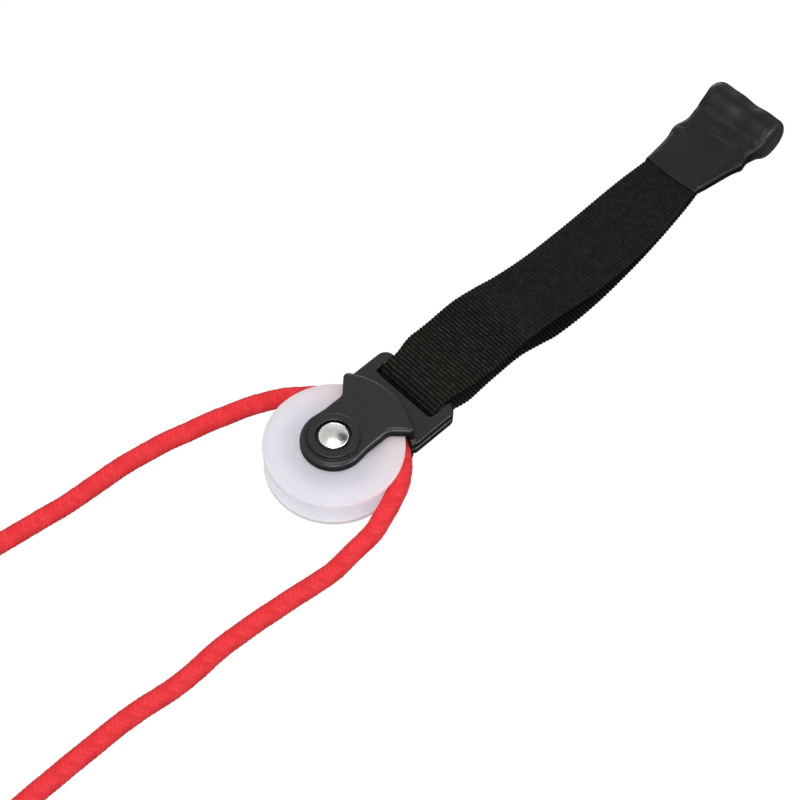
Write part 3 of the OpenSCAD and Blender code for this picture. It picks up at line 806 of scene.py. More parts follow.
def yarn_family(main, cross, shift, lifts, tones):
    """Height and tone of the higher of the two yarns of a family that meet at each point."""
    heights, shades = [], []
    for nudge in (-1e-6, 1e-6):
        yarn = np.floor(main + nudge).astype(int)
        crown = 1 - (2 * np.clip(main - yarn, 0, 1) - 1) ** 2
        # the yarn is over for two crossings, then under for two
        phase = cross + yarn - shift - 1
        cell = np.floor((phase + 2) / 4).astype(int) % YARN_CELLS
        rise = 0.15 * np.sqrt(np.maximum(crown, 0) + 1e-9) + 0.07 * np.cos(phase * np.pi / 2)
        heights.append(rise + lifts[yarn % CARRIERS, cell])
        shades.append(tones[yarn % CARRIERS, cell])
    higher = heights[1] > heights[0]
    return np.where(higher, heights[1], heights[0]), np.where(higher, shades[1], shades[0])


class Braid:
    """A braided cord along a path: two families of yarns, each over two and under two."""

    def __init__(self, control, seed, fine=6, slack=None):
        """fine is the number of mesh steps across a yarn."""
        self.path = smooth_path(control, 0.4)
        if slack is not None:
            x = self.path[:, 0]
            strength = smoothstep(-x, 3.0, 9.0) * smoothstep(x, -200, -170)
            self.path[:, 1] += curve(slack, x) * strength
        self.along = arc_length(self.path)
        self.length = self.along[-1]
        self.fine = fine
        self.row_l = TURN_L / (2 * CARRIERS * fine)
        self.seed = seed
        self.tangent = unit(np.gradient(self.path, self.along, axis=0))

    def row_at(self, distance):
        return int(round(distance / self.row_l))

    def distance_at_x(self, x):
        """Arc length where the cord, running towards -X, passes x."""
        first = int(np.argmax(self.path[:, 0] < -5))
        return float(np.interp(-x, -self.path[first:, 0], self.along[first:]))

    def build(self, name, first_row, last_row, caps=(False, False)):
        per_row = CARRIERS * self.fine
        rows = np.arange(first_row, last_row + 1)
        row = np.repeat(rows, per_row)
        # position in both families; odd rows are shifted by half a column
        doubled = 2 * np.tile(np.arange(per_row), len(rows)) + row % 2
        yarn_a = (doubled + row) / (2.0 * self.fine)
        yarn_b = (doubled - row) / (2.0 * self.fine)
        turn = (yarn_a + yarn_b) / (2 * CARRIERS)
        along = row * self.row_l

        rng = np.random.default_rng(self.seed)
        lifts = [rng.normal(0, 0.034, (CARRIERS, YARN_CELLS)) for _ in range(2)]
        tones = [rng.random((CARRIERS, YARN_CELLS)) for _ in range(2)]
        height_a, tone_a = yarn_family(yarn_a, yarn_b, 0, lifts[0], tones[0])
        height_b, tone_b = yarn_family(yarn_b, yarn_a, 2, lifts[1], tones[1])
        height = np.maximum(height_a, height_b)
        tone = np.where(height_a > height_b, tone_a, tone_b)
        # 1 on the yarns' crests and 0 in the valleys between them, where the cord's material paints
        # shade
        crest_light = np.clip((height + 0.02) / 0.30, 0, 1)

        centre = resample(along, self.along, self.path)
        tangent = unit(resample(along, self.along, self.tangent))
        side = unit(np.cross(tangent, [0, 0, 1.0]))
        up = np.cross(side, tangent)
        swell = 0.05 * value_noise(triples(along, 0, self.seed), 9.0)
        fuzz = 0.03 * value_noise(triples(along, turn * 22, 5), 2.2)
        radius = BRAID_R + height + swell + fuzz
        angle = 2 * np.pi * turn
        outward = np.cos(angle)[:, None] * side + np.sin(angle)[:, None] * up
        verts = centre + radius[:, None] * outward

        # diamonds over three rows, then triangles that fill the end zigzags
        columns = np.arange(per_row)
        i, j = np.meshgrid(np.arange(len(rows) - 2), columns, indexing="ij")
        parity = rows[i] % 2
        left = (i + 1) * per_row + (j + parity - 1) % per_row
        right = (i + 1) * per_row + (j + parity) % per_row
        diamonds = [i * per_row + j, right, (i + 2) * per_row + j, left]
        quads = np.stack(diamonds, -1).reshape(-1, 4)
        last, before_last = (len(rows) - 1) * per_row, (len(rows) - 2) * per_row
        tris = [[k, (k + 1) % per_row, per_row + (k + rows[0] % 2) % per_row] for k in columns]
        tris += [
            [last + (k + 1) % per_row, last + k, before_last + (k + rows[-1] % 2) % per_row]
            for k in columns
        ]

        parts, all_tones, all_crest_lights = [verts], [tone], [crest_light]
        count = len(verts)
        for end, capped in enumerate(caps):
            if not capped:
                continue
            order = (-1, 1)[end]
            ring = (0, last)[end] + columns
            middle, direction = centre[-end], order * tangent[-end]
            previous = ring
            for share, bulge in END_RINGS:
                points = middle + (verts[ring] - middle) * share + direction * bulge
                parts.append(points + 0.07 * value_noise(points, 0.9)[:, None] * direction)
                all_tones.append(np.full(per_row, 0.3))
                all_crest_lights.append(np.full(per_row, 0.6))
                new = count + columns
                count += per_row
                band = np.stack([previous, np.roll(previous, -1), np.roll(new, -1), new], 1)
                quads = np.concatenate([quads, band[:, ::order]])
                previous = new
            parts.append((middle + direction * 0.5)[None])
            all_tones.append([0.2])
            all_crest_lights.append([0.4])
            for k in columns:
                tris.append([previous[k], previous[(k + 1) % per_row], count][::order])
            count += 1
        attrs = {"tone": np.concatenate(all_tones), "crest_light": np.concatenate(all_crest_lights)}
        return make(name, np.concatenate(parts), quads, CORD, tris, attrs)


def build_cord(side, control, seed, slack):
    """One side's cord, cut at x = -20 into a piece at the wheel and a strand."""
    braid = Braid(control, seed, slack=slack)
    cut = braid.row_at(braid.distance_at_x(-20.0))
    near = braid.build(f"{side}_cord_near_wheel", 0, cut)
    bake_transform(near)
    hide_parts("cord_on_wheel")
    last = braid.row_at(braid.length - 0.3)
    far = braid.build(f"{side}_cord_strand", cut, last, caps=(False, True))
    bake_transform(far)
    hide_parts(f"{side}_strand")


# ---------------------------------------------------------------- handles
def half_handle_path():
    """Half of a handle's cord, clamp first: x, distance from the handle's middle line, z."""
    plan = [
        (CLAMP_X - CLAMP_L + 2, PAIR_DY), (TILT_X - 2.1, PAIR_DY),
        (TILT_X - 6, PAIR_DY + 0.3), (TILT_X - 12, PAIR_DY + 3.4),
    ]
    for t in (0.3, 0.475, 0.65, 0.825, 1.0):
        x = LEG_START_X + (LEG_END_X - LEG_START_X) * t
        plan.append((x, PAIR_DY + (LEG_END_Y - PAIR_DY) * t))
    for i in range(1, 7):
        angle = math.radians(LEG_ANGLE + (180 - LEG_ANGLE) * i / 6)
        x = GRIP_X + BEND_R + BEND_R * math.cos(angle)
        plan.append((x, END_Y + 1 + BEND_R * math.sin(angle)))
    plan += [(GRIP_X, END_Y * 0.6), (GRIP_X, END_Y * 0.2)]

    def height(x):
        rise = (x - TILT_X + 14) / (LEG_END_X - TILT_X + 14)
        return CLAMP_Z + (GRIP_Z - CLAMP_Z) * max(0, min(1, rise))

    return [(x, y, height(x)) for x, y in plan]


def build_handle_cord(side, sign, middle_y):
    """From the clamp on the strand's side, round the grip, back to the cut end in the clamp."""
    half = half_handle_path()
    strand_y, cut_y = middle_y - sign * PAIR_DY, middle_y + sign * PAIR_DY
    control = [(CLAMP_X - 13.2, strand_y, CLAMP_Z)]
    control += [(x, middle_y - sign * y, z) for x, y, z in half]
    control += [(x, middle_y + sign * y, z) for x, y, z in half[::-1]]
    control += [(CLAMP_X - 13, cut_y, CLAMP_Z), (CLAMP_X + 2.2, cut_y, CLAMP_Z)]
    braid = Braid(control, 31 + sign, fine=5)
    rows = braid.row_at(braid.length)
    loop = braid.build(f"{side}_handle_cord_loop", 0, rows, caps=(True, True))
    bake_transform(loop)
    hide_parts(f"{side}_handle_cord", f"{side}_clamped_ends")


def clamp_field(x, y, z):
    """Flattened tube along X from -CLAMP_L to 0, with two cord holes."""
    outline = np.hypot(np.maximum(np.abs(y) - (PAIR_DY + 1), 0), z) - CLAMP_R
    body = extrude(outline, x, -CLAMP_L, 0.0, 0.9, 0.9)
    for groove_x in (-5, 5):  # pinch grooves on both sides of the middle
        groove = np.hypot(x + CLAMP_L / 2 - groove_x, outline) - 1.15
        body = blend_max(body, -groove, 0.5)
    hole = np.hypot(np.abs(y) - PAIR_DY, z) - (CORD_R + 0.12)
    body = blend_max(body, -hole, 0.5)
    seam = np.hypot(z, outline) - 0.28
    return blend_max(body, -seam, 0.2)


def build_clamp(side, middle_y):
    low, high = (-CLAMP_L - 0.8, -12.2, -6.3), (0.8, 12.2, 6.3)
    verts, quads = surface_nets(clamp_field, low, high, 0.36)
    clamp = make(f"{side}_cord_clamp", verts + [CLAMP_X, middle_y, CLAMP_Z], quads, CLAMP)
    mount(clamp, f"{side}_hitch", f"{side}_clamp")


def build_foam(side, middle_y):
    outer_r, inner_r, half_l = GRIP_D / 2, TUBE_D / 2 + 0.03, GRIP_L / 2
    corners = [(inner_r, -half_l), (outer_r, -half_l), (outer_r, half_l), (inner_r, half_l)]
    outline = densify(fillet(corners, [0.3, 2.4, 2.4, 0.3], seg=8), 0.9)

    def roughen(verts):
        """Uneven skin outside, slight roughness on the end faces."""
        radius = np.hypot(verts[:, 0], verts[:, 1])
        outer = smoothstep(radius, outer_r - 3.2, outer_r - 0.6)
        relief = (
            0.16 * layered_noise(verts + middle_y, 7.0, 2)
            + 0.10 * layered_noise(verts - middle_y, 1.5, 2)
            + 0.06 * layered_noise(verts + 2 * middle_y, 0.8, 1)
        )
        verts[:, :2] *= (1 + outer * (relief - 0.08) / radius)[:, None]
        end_relief = 0.12 * layered_noise(verts, 1.3, 2) * (radius > TUBE_D / 2 + 0.4)
        verts[:, 2] += (1 - outer) * end_relief
        return verts

    centre = (GRIP_X, middle_y, GRIP_Z)
    foam = revolve(f"{side}_foam_sleeve", outline, FOAM, 176, shape=roughen, centre=centre)
    mount(foam, f"{side}_grip", f"{side}_foam_grip")


def build_cap(side, name, direction, middle_y):
    """End cap: a plug inside the tube and a fluted flange over its end."""
    hole_r, flange_r, plug_r = CORD_R + 0.7, GRIP_D / 2 - 1, TUBE_D / 2 - 2.52
    tube_end, foam_end, cap_end = TUBE_L / 2, GRIP_L / 2, TUBE_L / 2 + CAP_T
    profile = [
        (hole_r, tube_end - 7), (plug_r, tube_end - 7), (plug_r, tube_end + 0.02),
        (TUBE_D / 2 + 0.02, tube_end + 0.02), (TUBE_D / 2 + 0.02, foam_end + 0.02),
        (flange_r, foam_end + 0.02), (flange_r, cap_end), (hole_r, cap_end),
    ]
    profile = densify(fillet(profile, [0.2, 0.3, 0.1, 0.1, 0.1, 0.6, 2.0, 1.6], seg=8), 1.2)

    def flute(verts):
        """36 shallow flutes round the flange's edge."""
        x, y, z = verts.T
        radius = np.hypot(x, y)
        amount = smoothstep(radius, flange_r - 0.25, flange_r - 0.05)
        amount *= smoothstep(z, foam_end + 0.5, foam_end + 1.2)
        amount *= 1 - smoothstep(z, cap_end - 2.2, cap_end - 1.4)
        depth = 0.28 * amount * (0.5 - 0.5 * np.cos(np.arctan2(y, x) * 36))
        verts[:, :2] *= (1 - depth / radius)[:, None]
        return verts

    cap = revolve(f"{side}_{name}_end_cap", profile, CAP, 288, shape=flute)
    cap.data.transform(Matrix.Rotation(math.radians(-90 * direction), 4, "X"))
    cap.data.transform(Matrix.Translation(Vector(metres(GRIP_X, middle_y, GRIP_Z))))
    mount(cap, f"{side}_grip", f"{side}_{name}_cap")


def build_handle(side, sign, middle_y):
    build_handle_cord(side, sign, middle_y)
    build_clamp(side, middle_y)
    build_foam(side, middle_y)
    build_cap(side, "inner", -sign, middle_y)
    build_cap(side, "outer", sign, middle_y)


# ---------------------------------------------------------------- strap
# Edges of the strap's front (upper) and rear (lower) layers: stations along X, y
UPPER_RIGHT = (
    [30, 45.6, 63.7, 80, 89.4, 106, 118.4, 135, 150, 165, 178, 190],
    [-13.5, -14.6, -14.9, -14.2, -14.2, -15.1, -15.8, -15.3, -14.3, -12.5, -9.7, -8.0],
)
UPPER_LEFT = (
    [30, 44.4, 56.4, 75, 86, 96, 111, 130, 151.9, 170, 183.7, 190],
    [14, 15.9, 15.6, 16.6, 15.7, 14.4, 13.8, 14.4, 15.1, 15.4, 15.2, 15.0],
)
LOWER_RIGHT = (
    [30, 47.6, 66, 82, 92, 99, 120, 140, 160, 178, 190],
    [-14, -14.9, -13.4, -12.6, -13.9, -15.1, -15.7, -15.0, -13.4, -10.7, -8.0],
)
SLOT_EDGE_Y = 13.4  # half width of the strap where it passes through the slot
STRAP_END_X = 188.0


def webbing_band(name, along, path, normal, left, right, cols, inner_cols, seed=0):
    """Closed ribbed band: a crowned rib per weft, beads in columns and looped selvedges.

    path and normal are (x, z) at the arc lengths along; left and right are the edges' y there.
    """
    rows, half = len(along), WEB_T / 2
    along, x, z = along[:, None], path[:, :1], path[:, 1:]
    right, width = right[:, None], (left - right)[:, None]

    def edge_wave(across):
        """Gentle waves of both edges between the block and the sleeve."""
        soft = smoothstep(x, 52, 70) * (1 - smoothstep(x, 165, 180))
        return 0.35 * np.sin(x / 13.0 + 1.2 * across) * soft * np.abs(2 * across - 1) ** 1.5

    def skin(offset, y):
        return triples(x + normal[:, :1] * offset, y, z + normal[:, 1:] * offset)

    # outer face
    across = np.linspace(0, 1, cols)[None]
    y = right + width * across
    from_edge = np.minimum(across, 1 - across) * width
    relief = np.where(z > FOLD_Z, 1.15 - 0.65 * smoothstep(x, 70, 92), 0.9)

    def wander(amount, stretch, shift, cell):
        points = triples(along / stretch, y, seed + shift)
        return amount * value_noise(points, cell).reshape(y.shape)

    phase = along / RIB + wander(0.10, stretch=4, shift=0, cell=3.0)
    rib = np.floor(phase).astype(int)
    crown = np.abs(np.sin(np.pi * (phase - rib)))
    # every rib is a row of beads, staggered against the next rib's
    column = across * 22 + 0.5 * (rib % 2) + wander(0.12, stretch=3, shift=3, cell=2.0)
    bead = np.floor(column).astype(int)
    warp = np.abs(np.sin(np.pi * (column - bead)))
    rng = np.random.default_rng(seed + 5)
    cells = rng.random((4096, 64))
    bead_lift = (cells[rib % 4096, (bead * 7 + 3) % 64] - 0.5) * 0.10
    height = 0.30 * relief * crown * (0.72 + 0.28 * warp) + bead_lift * crown * warp
    height = height - 0.26 + 0.10 * (1 - relief)
    height = height - 0.55 * (1 - smoothstep(from_edge, 0.0, 1.1)) ** 1.5 + edge_wave(across)
    bulge = 0.13 * (crown - 0.6) * (1 - smoothstep(from_edge, 0, 1.6))
    outer = skin(half + height, y + np.where(across < 0.5, -1, 1) * bulge)
    tone = cells[rib % 4096, bead % 64] * 0.85 + 0.15 * rng.random(4096)[rib % 4096]
    # 1 on the ribs' crests and lower in the valleys, where the webbing's material paints shade;
    # where the relief is low there is less painted shade
    crest_light = np.clip(crown * (0.62 + 0.38 * warp), 0, 1)
    crest_light = np.clip(1 - relief * (1 - crest_light), 0, 1)

    # inner face, coarser across
    across = np.linspace(0, 1, inner_cols)[None]
    inner_crown = np.sqrt(np.maximum(0, 1 - (2 * ((along / RIB + 0.5) % 1) - 1) ** 2))
    inner_crown = inner_crown + across * 0
    soft = smoothstep(np.minimum(across, 1 - across) * width, 0, 1.1)
    offset = -half - (0.26 * inner_crown - 0.24) + 0.5 * (1 - soft) ** 1.5 + edge_wave(across)
    inner = skin(offset, right + width * across)

    inner_at = rows * cols
    strips_at = count = inner_at + rows * inner_cols
    parts = [outer, inner]
    tones, crest_lights = [tone.ravel(), np.full(len(inner), 0.35)], [crest_light.ravel(), inner_crown.ravel() * 0.8]
    quads = [grid_faces(rows, cols, flip=True), grid_faces(rows, inner_cols, offset=inner_at)]

    # selvedges: three strips between the faces along each edge
    row = np.arange(rows)
    for col, inner_col, sign in ((0, 0, -1), (cols - 1, inner_cols - 1, 1)):
        outer_line, inner_line = row * cols + col, row * inner_cols + inner_col
        lines = [outer_line]
        for t in (0.25, 0.5, 0.75):
            middle = outer[outer_line] * (1 - t) + inner[inner_line] * t
            loop = 0.16 + 0.18 * (crown[:, col] - 0.4)
            middle[:, 1] += sign * loop * math.sin(math.pi * t)
            parts.append(middle)
            tones.append(tone[:, col])
            crest_lights.append(crown[:, col] * 0.9)
            lines.append(count + row)
            count += rows
        lines.append(inner_at + inner_line)
        for line, following in zip(lines, lines[1:]):
            band = np.stack([line[:-1], line[1:], following[1:], following[:-1]], 1)
            quads.append(band[:, ::-sign])

    # both ends are closed by a fan
    verts, fans = np.concatenate(parts), []
    for end_row, order in ((0, 1), (rows - 1, -1)):
        strips = strips_at + end_row + rows * np.arange(6)
        inner_row = inner_at + end_row * inner_cols + np.arange(inner_cols)
        outer_row = end_row * cols + np.arange(cols)
        ring = np.concatenate([outer_row, strips[3:], inner_row[::-1], strips[:3][::-1]])
        ring = ring[::order]
        fans += [[a, b, len(verts)] for a, b in zip(ring, np.roll(ring, -1))]
        verts = np.concatenate([verts, verts[ring].mean(0)[None]])
        tones.append([0.3])
        crest_lights.append([0.3])
    attrs = {"tone": np.concatenate(tones), "crest_light": np.concatenate(crest_lights)}
    return make(name, verts, np.concatenate(quads), WEBBING, fans, attrs)


def build_strap():
    """From the fold over the block's bar and back; stations are (x, z)."""
    sewn_x = FOLD_X - WEB_T - 0.3
    span = sewn_x - BAR_X
    upper = smooth_path(
        [
            (STRAP_END_X, FOLD_Z + WEB_GAP), (sewn_x - 12, FOLD_Z + WEB_GAP),
            (BAR_X + span * 0.72, -0.6), (BAR_X + span * 0.5, 1.2), (BAR_X + span * 0.25, 3.0),
            (BAR_X + 12, 4.5), (BAR_X + 4, WEB_R), (BAR_X, WEB_R),
        ],
        0.5,
    )
    angle = np.radians(np.linspace(90, 270, 41))[1:-1]
    loop = np.stack([BAR_X + WEB_R * np.cos(angle), WEB_R * np.sin(angle)], 1)
    lower = smooth_path(
        [
            (BAR_X, -WEB_R), (BAR_X + 4, -WEB_R), (BAR_X + 12, -5), (BAR_X + span * 0.25, -7.6),
            (BAR_X + span * 0.5, -8.7), (BAR_X + span * 0.72, -6.6),
            (sewn_x - 12, FOLD_Z - WEB_GAP - 0.1), (STRAP_END_X, FOLD_Z - WEB_GAP),
        ],
        0.5,
    )
    stations = np.concatenate([upper, loop, lower])
    length = arc_length(stations)
    rows = int(round(length[-1] / (RIB / 6)))
    along = np.linspace(0, length[-1], rows + 1)
    path = resample(along, length, stations)
    # soften the corners between the three parts
    kernel = np.hanning(13)
    kernel /= kernel.sum()
    padded = np.pad(path, ((6, 6), (0, 0)), mode="reflect", reflect_type="odd")
    path = np.stack([np.convolve(column, kernel, "valid") for column in padded.T], 1)
    tangent = unit(np.gradient(path, axis=0))
    normal = np.stack([tangent[:, 1], -tangent[:, 0]], 1)  # out of the loop

    x = path[:, 0]
    lower_share = smoothstep(along, length[len(upper) - 1], length[len(upper) + len(loop)])
    lower_right = curve(LOWER_RIGHT, x)
    lower_left = np.minimum(lower_right + 29.6 - 2.6 * smoothstep(x, 150, 182), 15.1)
    left = curve(UPPER_LEFT, x) * (1 - lower_share) + lower_left * lower_share
    right = curve(UPPER_RIGHT, x) * (1 - lower_share) + lower_right * lower_share
    # drawn in to pass through the slot
    full = smoothstep(x, 41.5, 54.5)
    left = left * full + SLOT_EDGE_Y * (1 - full)
    right = right * full - SLOT_EDGE_Y * (1 - full)

    strap = webbing_band("strap_loop", along, path, normal, left, right, cols=112, inner_cols=12)
    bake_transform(strap)
    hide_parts("strap_webbing")


def build_anchor_webbing():
    """Webbing inside the sleeve, round the roll; stations are (x, z)."""
    wrap_r = ROLL_R + WEB_GAP
    lift_x = 10.5  # the webbing leaves its middle plane this far before the roll's centre
    wrap_angle = 180 - math.degrees(
        math.acos(wrap_r / math.hypot(lift_x, WEB_GAP)) + math.atan(WEB_GAP / lift_x)
    )
    upper = [
        (189.0, FOLD_Z + WEB_GAP), (ROLL_X - lift_x - 6, FOLD_Z + WEB_GAP),
        (ROLL_X - lift_x - 1, FOLD_Z + WEB_GAP + 0.2),
    ]
    arc = [
        (ROLL_X + wrap_r * math.cos(angle), FOLD_Z + wrap_r * math.sin(angle))
        for angle in np.radians(np.linspace(wrap_angle, -wrap_angle, 49))
    ]
    stations = np.array(upper + arc + [(x, 2 * FOLD_Z - z) for x, z in upper[::-1]])
    length = arc_length(stations)
    rows = int(round(length[-1] / (RIB / 4)))
    along = np.linspace(0, length[-1], rows + 1)
    path = resample(along, length, stations)
    tangent = unit(np.gradient(path, axis=0))
    normal = np.stack([-tangent[:, 1], tangent[:, 0]], 1)
    left = np.full(len(along), ANCHOR_Y + DRAWN_W / 2)
    band = webbing_band(
        "anchor_webbing_loop", along, path, normal, left, left - DRAWN_W,
        cols=40, inner_cols=10, seed=9,
    )
    mount(band, "door_anchor", "anchor_webbing")


# ---------------------------------------------------------------- sleeve of the door anchor
# Edges of the flat part, and the left end of the head: stations along X, y
SLEEVE_LEFT = (
    [180, 183, 189, 194, 198.7, 202, 204.5, 206.5, 210, 214, 218, 224, 236],
    [15.9, 16.1, 16.6, 17.2, 18.0, 19.1, 19.6, 19.3, 18.6, 18.8, 19.4, 20.6, 21.0],
)
SLEEVE_RIGHT = (
    [180, 184, 190, 196.6, 203, 206, 207.6, 209.6, 212, 216, 220, 226, 236],
    [-8.6, -9.1, -10.2, -11.2, -12.2, -13.0, -13.5, -13.0, -12.5, -12.8, -13.0, -13.1, -13.1],
)
HEAD_LEFT = ([210, 217, 221, 226, 231, 236], [17.6, 18.6, 19.6, 20.7, 20.9, 20.6])
HEAD_Y, HEAD_HALF_L, HEAD_R = 3.9, 17.0, 9.05

# Creases and folds: start (x, y), end (x, y), width, height (negative is a groove)
FRONT_CREASES = [
    ((216.0, 12.5), (218.8, -10.5), 2.3, -0.26), ((209.8, 8.0), (210.8, -5.0), 0.60, -0.36),
    ((213.2, 9.5), (214.0, 2.5), 0.9, 0.26), ((225.5, 7.0), (227.5, -4.0), 1.5, 0.22),
    ((222.0, 4.5), (222.5, -8.5), 0.9, -0.12), ((205.6, 13.6), (202.6, 17.6), 0.8, 0.35),
    ((203.6, 12.8), (200.4, 16.2), 0.7, -0.28), ((205.5, 5.0), (200.5, -2.5), 1.5, 0.14),
    ((209.0, -11.6), (214.0, -7.6), 0.8, -0.38), ((211.2, -11.4), (217.0, -8.6), 0.8, 0.34),
    ((200.0, -9.6), (207.0, -11.6), 0.7, -0.25), ((188.0, -7.0), (186.2, -8.8), 0.8, 0.22),
    ((188.5, 14.4), (186.6, 12.6), 0.7, 0.20),
]
REAR_CREASES = [
    ((212.5, 15.0), (213.5, -10.0), 2.2, -0.45), ((205.0, 9.0), (209.0, 14.0), 0.8, -0.3),
    ((208.0, -9.0), (203.0, -3.0), 0.9, 0.25),
]


def sleeve_field(x, y, z):
    height = np.abs(z - FOLD_Z)
    left, right = curve(SLEEVE_LEFT, x), curve(SLEEVE_RIGHT, x)
    # flat part: a thin pillow between its two edges, swelling towards the roll
    edge = np.abs(y - (left + right) / 2) - (left - right) / 2
    thick = 1.98 + 0.37 * smoothstep(x, 183, 188) + 0.20 * smoothstep(x, 186, 200)
    thick = thick + 0.8 * smoothstep(x, 200, 213) + 1.2 * smoothstep(x, 209, 220)
    edge_r = np.minimum(thick - 0.15, 2.1 + 0.9 * smoothstep(x, 190, 210))
    flat = round_overlap(edge, height - thick, edge_r)
    flat = blend_max(flat, x - ROLL_X, 0.8)
    # head: round roll with soft ends, pinched a little; its left end leans in
    pinch = 0.40 * np.exp(-(((y - 1.5) / 5.5) ** 2)) + 0.10 * np.cos((y - 2) * 0.55)
    pinch = pinch + 0.25 * smoothstep(y, 15, 21)
    radial = np.hypot(x - ROLL_X, height) - (HEAD_R - pinch)
    ends = np.maximum(y - curve(HEAD_LEFT, x), HEAD_Y - HEAD_HALF_L - y)
    body = blend_min(flat, round_overlap(radial, ends, 3.4), 2.4)
    # bowed mouth: cut edge and the hollow the strap goes into
    mouth = 183.4 - 1.0 * np.cos(np.clip((y - 3.4) / 13.5, -1, 1) * np.pi / 2)
    body = blend_max(body, mouth - x, 0.35)
    hollow = np.maximum(height - 1.64 + 0.55 * smoothstep(edge, -2.2, -0.75), edge + 0.75)
    return blend_max(body, -np.maximum(hollow, x - 188.5), 0.25)


def crease(points, start, end, width, height):
    """A soft ridge or groove along a segment in plan, fading to its ends."""
    start = np.array(start, float)
    run = np.array(end, float) - start
    t = np.clip(((points[:, :2] - start) @ run) / (run @ run), 0, 1)
    distance = np.linalg.norm(points[:, :2] - start - t[:, None] * run, axis=1)
    fade = 0.35 + 0.65 * np.sin(np.pi * t)
    return height * fade * np.exp(-((distance / width) ** 2))


def build_sleeve():
    verts, quads = surface_nets(sleeve_field, (181.0, -15.5, -12.5), (237.5, 23.0, 8.5), 0.36)
    x, y, z = verts.T
    normal = gradient(sleeve_field, verts, 0.1)
    normal /= np.maximum(np.linalg.norm(normal, axis=1), 1e-9)[:, None]
    raised = np.zeros(len(verts))
    for direction, creases in ((1, FRONT_CREASES), (-1, REAR_CREASES)):
        faces_out = smoothstep(direction * normal[:, 2], 0.1, 0.6)
        for entry in creases:
            raised += faces_out * crease(verts, *entry)
    # loose skin: long soft wrinkles before the roll, finer ones on the head's ends
    junction = np.exp(-(((x - 213) / 7.0) ** 2))
    stretched = np.stack([x + 2 * value_noise(verts, 9.0), y * 0.35, z * 0.35], 1)
    raised += 0.14 * junction * layered_noise(stretched, 3.6, 2)
    raised += 0.07 * layered_noise(verts, 7.5, 3)
    head_end = smoothstep(np.abs(y - HEAD_Y), 13.5, 16.5) * smoothstep(x, 214, 220)
    raised += 0.10 * head_end * layered_noise(verts * [1, 0.5, 1], 4.0, 2)
    raised += 0.06 * np.exp(-(((x - 184.0) / 0.9) ** 2))  # lip at the mouth
    hollow_wall = (x < 188.7) & (np.abs(z - FOLD_Z) < 2.0)
    hollow_wall &= (y > curve(SLEEVE_RIGHT, x) + 0.5) & (y < curve(SLEEVE_LEFT, x) - 0.5)
    raised = np.where(hollow_wall, 0, raised)
    sleeve = make("anchor_vinyl_sleeve", verts + normal * raised[:, None], quads, VINYL)
    mount(sleeve, "door_anchor", "anchor_sleeve")


# ---------------------------------------------------------------- block
def arc_points(centre, radius, start, end, count):
    out = []
    for i in range(count + 1):
        x, y, _ = polar(radius, start + (end - start) * i / count, 0)
        out.append((centre[0] + x, centre[1] + y))
    return out


def cheek_half(out):
    """Half of the cheek's outline at +Y; out moves the tip outwards along the diagonal."""
    tip_x, tip_y, _ = polar(ARC_R, TIP_ANGLE, 0)
    tip_x, tip_y = tip_x - out * 0.7071, tip_y + out * 0.7071
    side_y, bend_r = NOSE_R - 0.6, 4.0
    # the straight side turns by 45 degrees towards the tip
    bend_x = tip_x - (tip_y - side_y) - bend_r * math.tan(math.radians(22.5))
    return (
        arc_points((0, 0), NOSE_R, 178, 82, 24)
        + [(6, side_y)]
        + arc_points((bend_x, side_y + bend_r), bend_r, 270, 315, 8)
        + arc_points((tip_x + 1.15, tip_y - 0.35), 1.2, 165, 75, 6)
        + [polar(ARC_R + 4, TIP_ANGLE - 4, 0)[:2], (ARC_R + 8, 6)]
    )


def plate_polygon():
    corner_r = 4.0
    corner = (PLATE_X - corner_r, PLATE_HALF_W - corner_r)
    half = [(14, WALL_R * 0.62), (20.5, PLATE_HALF_W - 1), (22.5, PLATE_HALF_W)]
    half += arc_points(corner, corner_r, 90, 0, 10)
    return half + [(x, -y) for x, y in half[::-1]]


CHEEK_POLYGON = cheek_half(0.7) + [(x, -y) for x, y in cheek_half(0.0)[::-1]]
PLATE_POLYGON = plate_polygon()


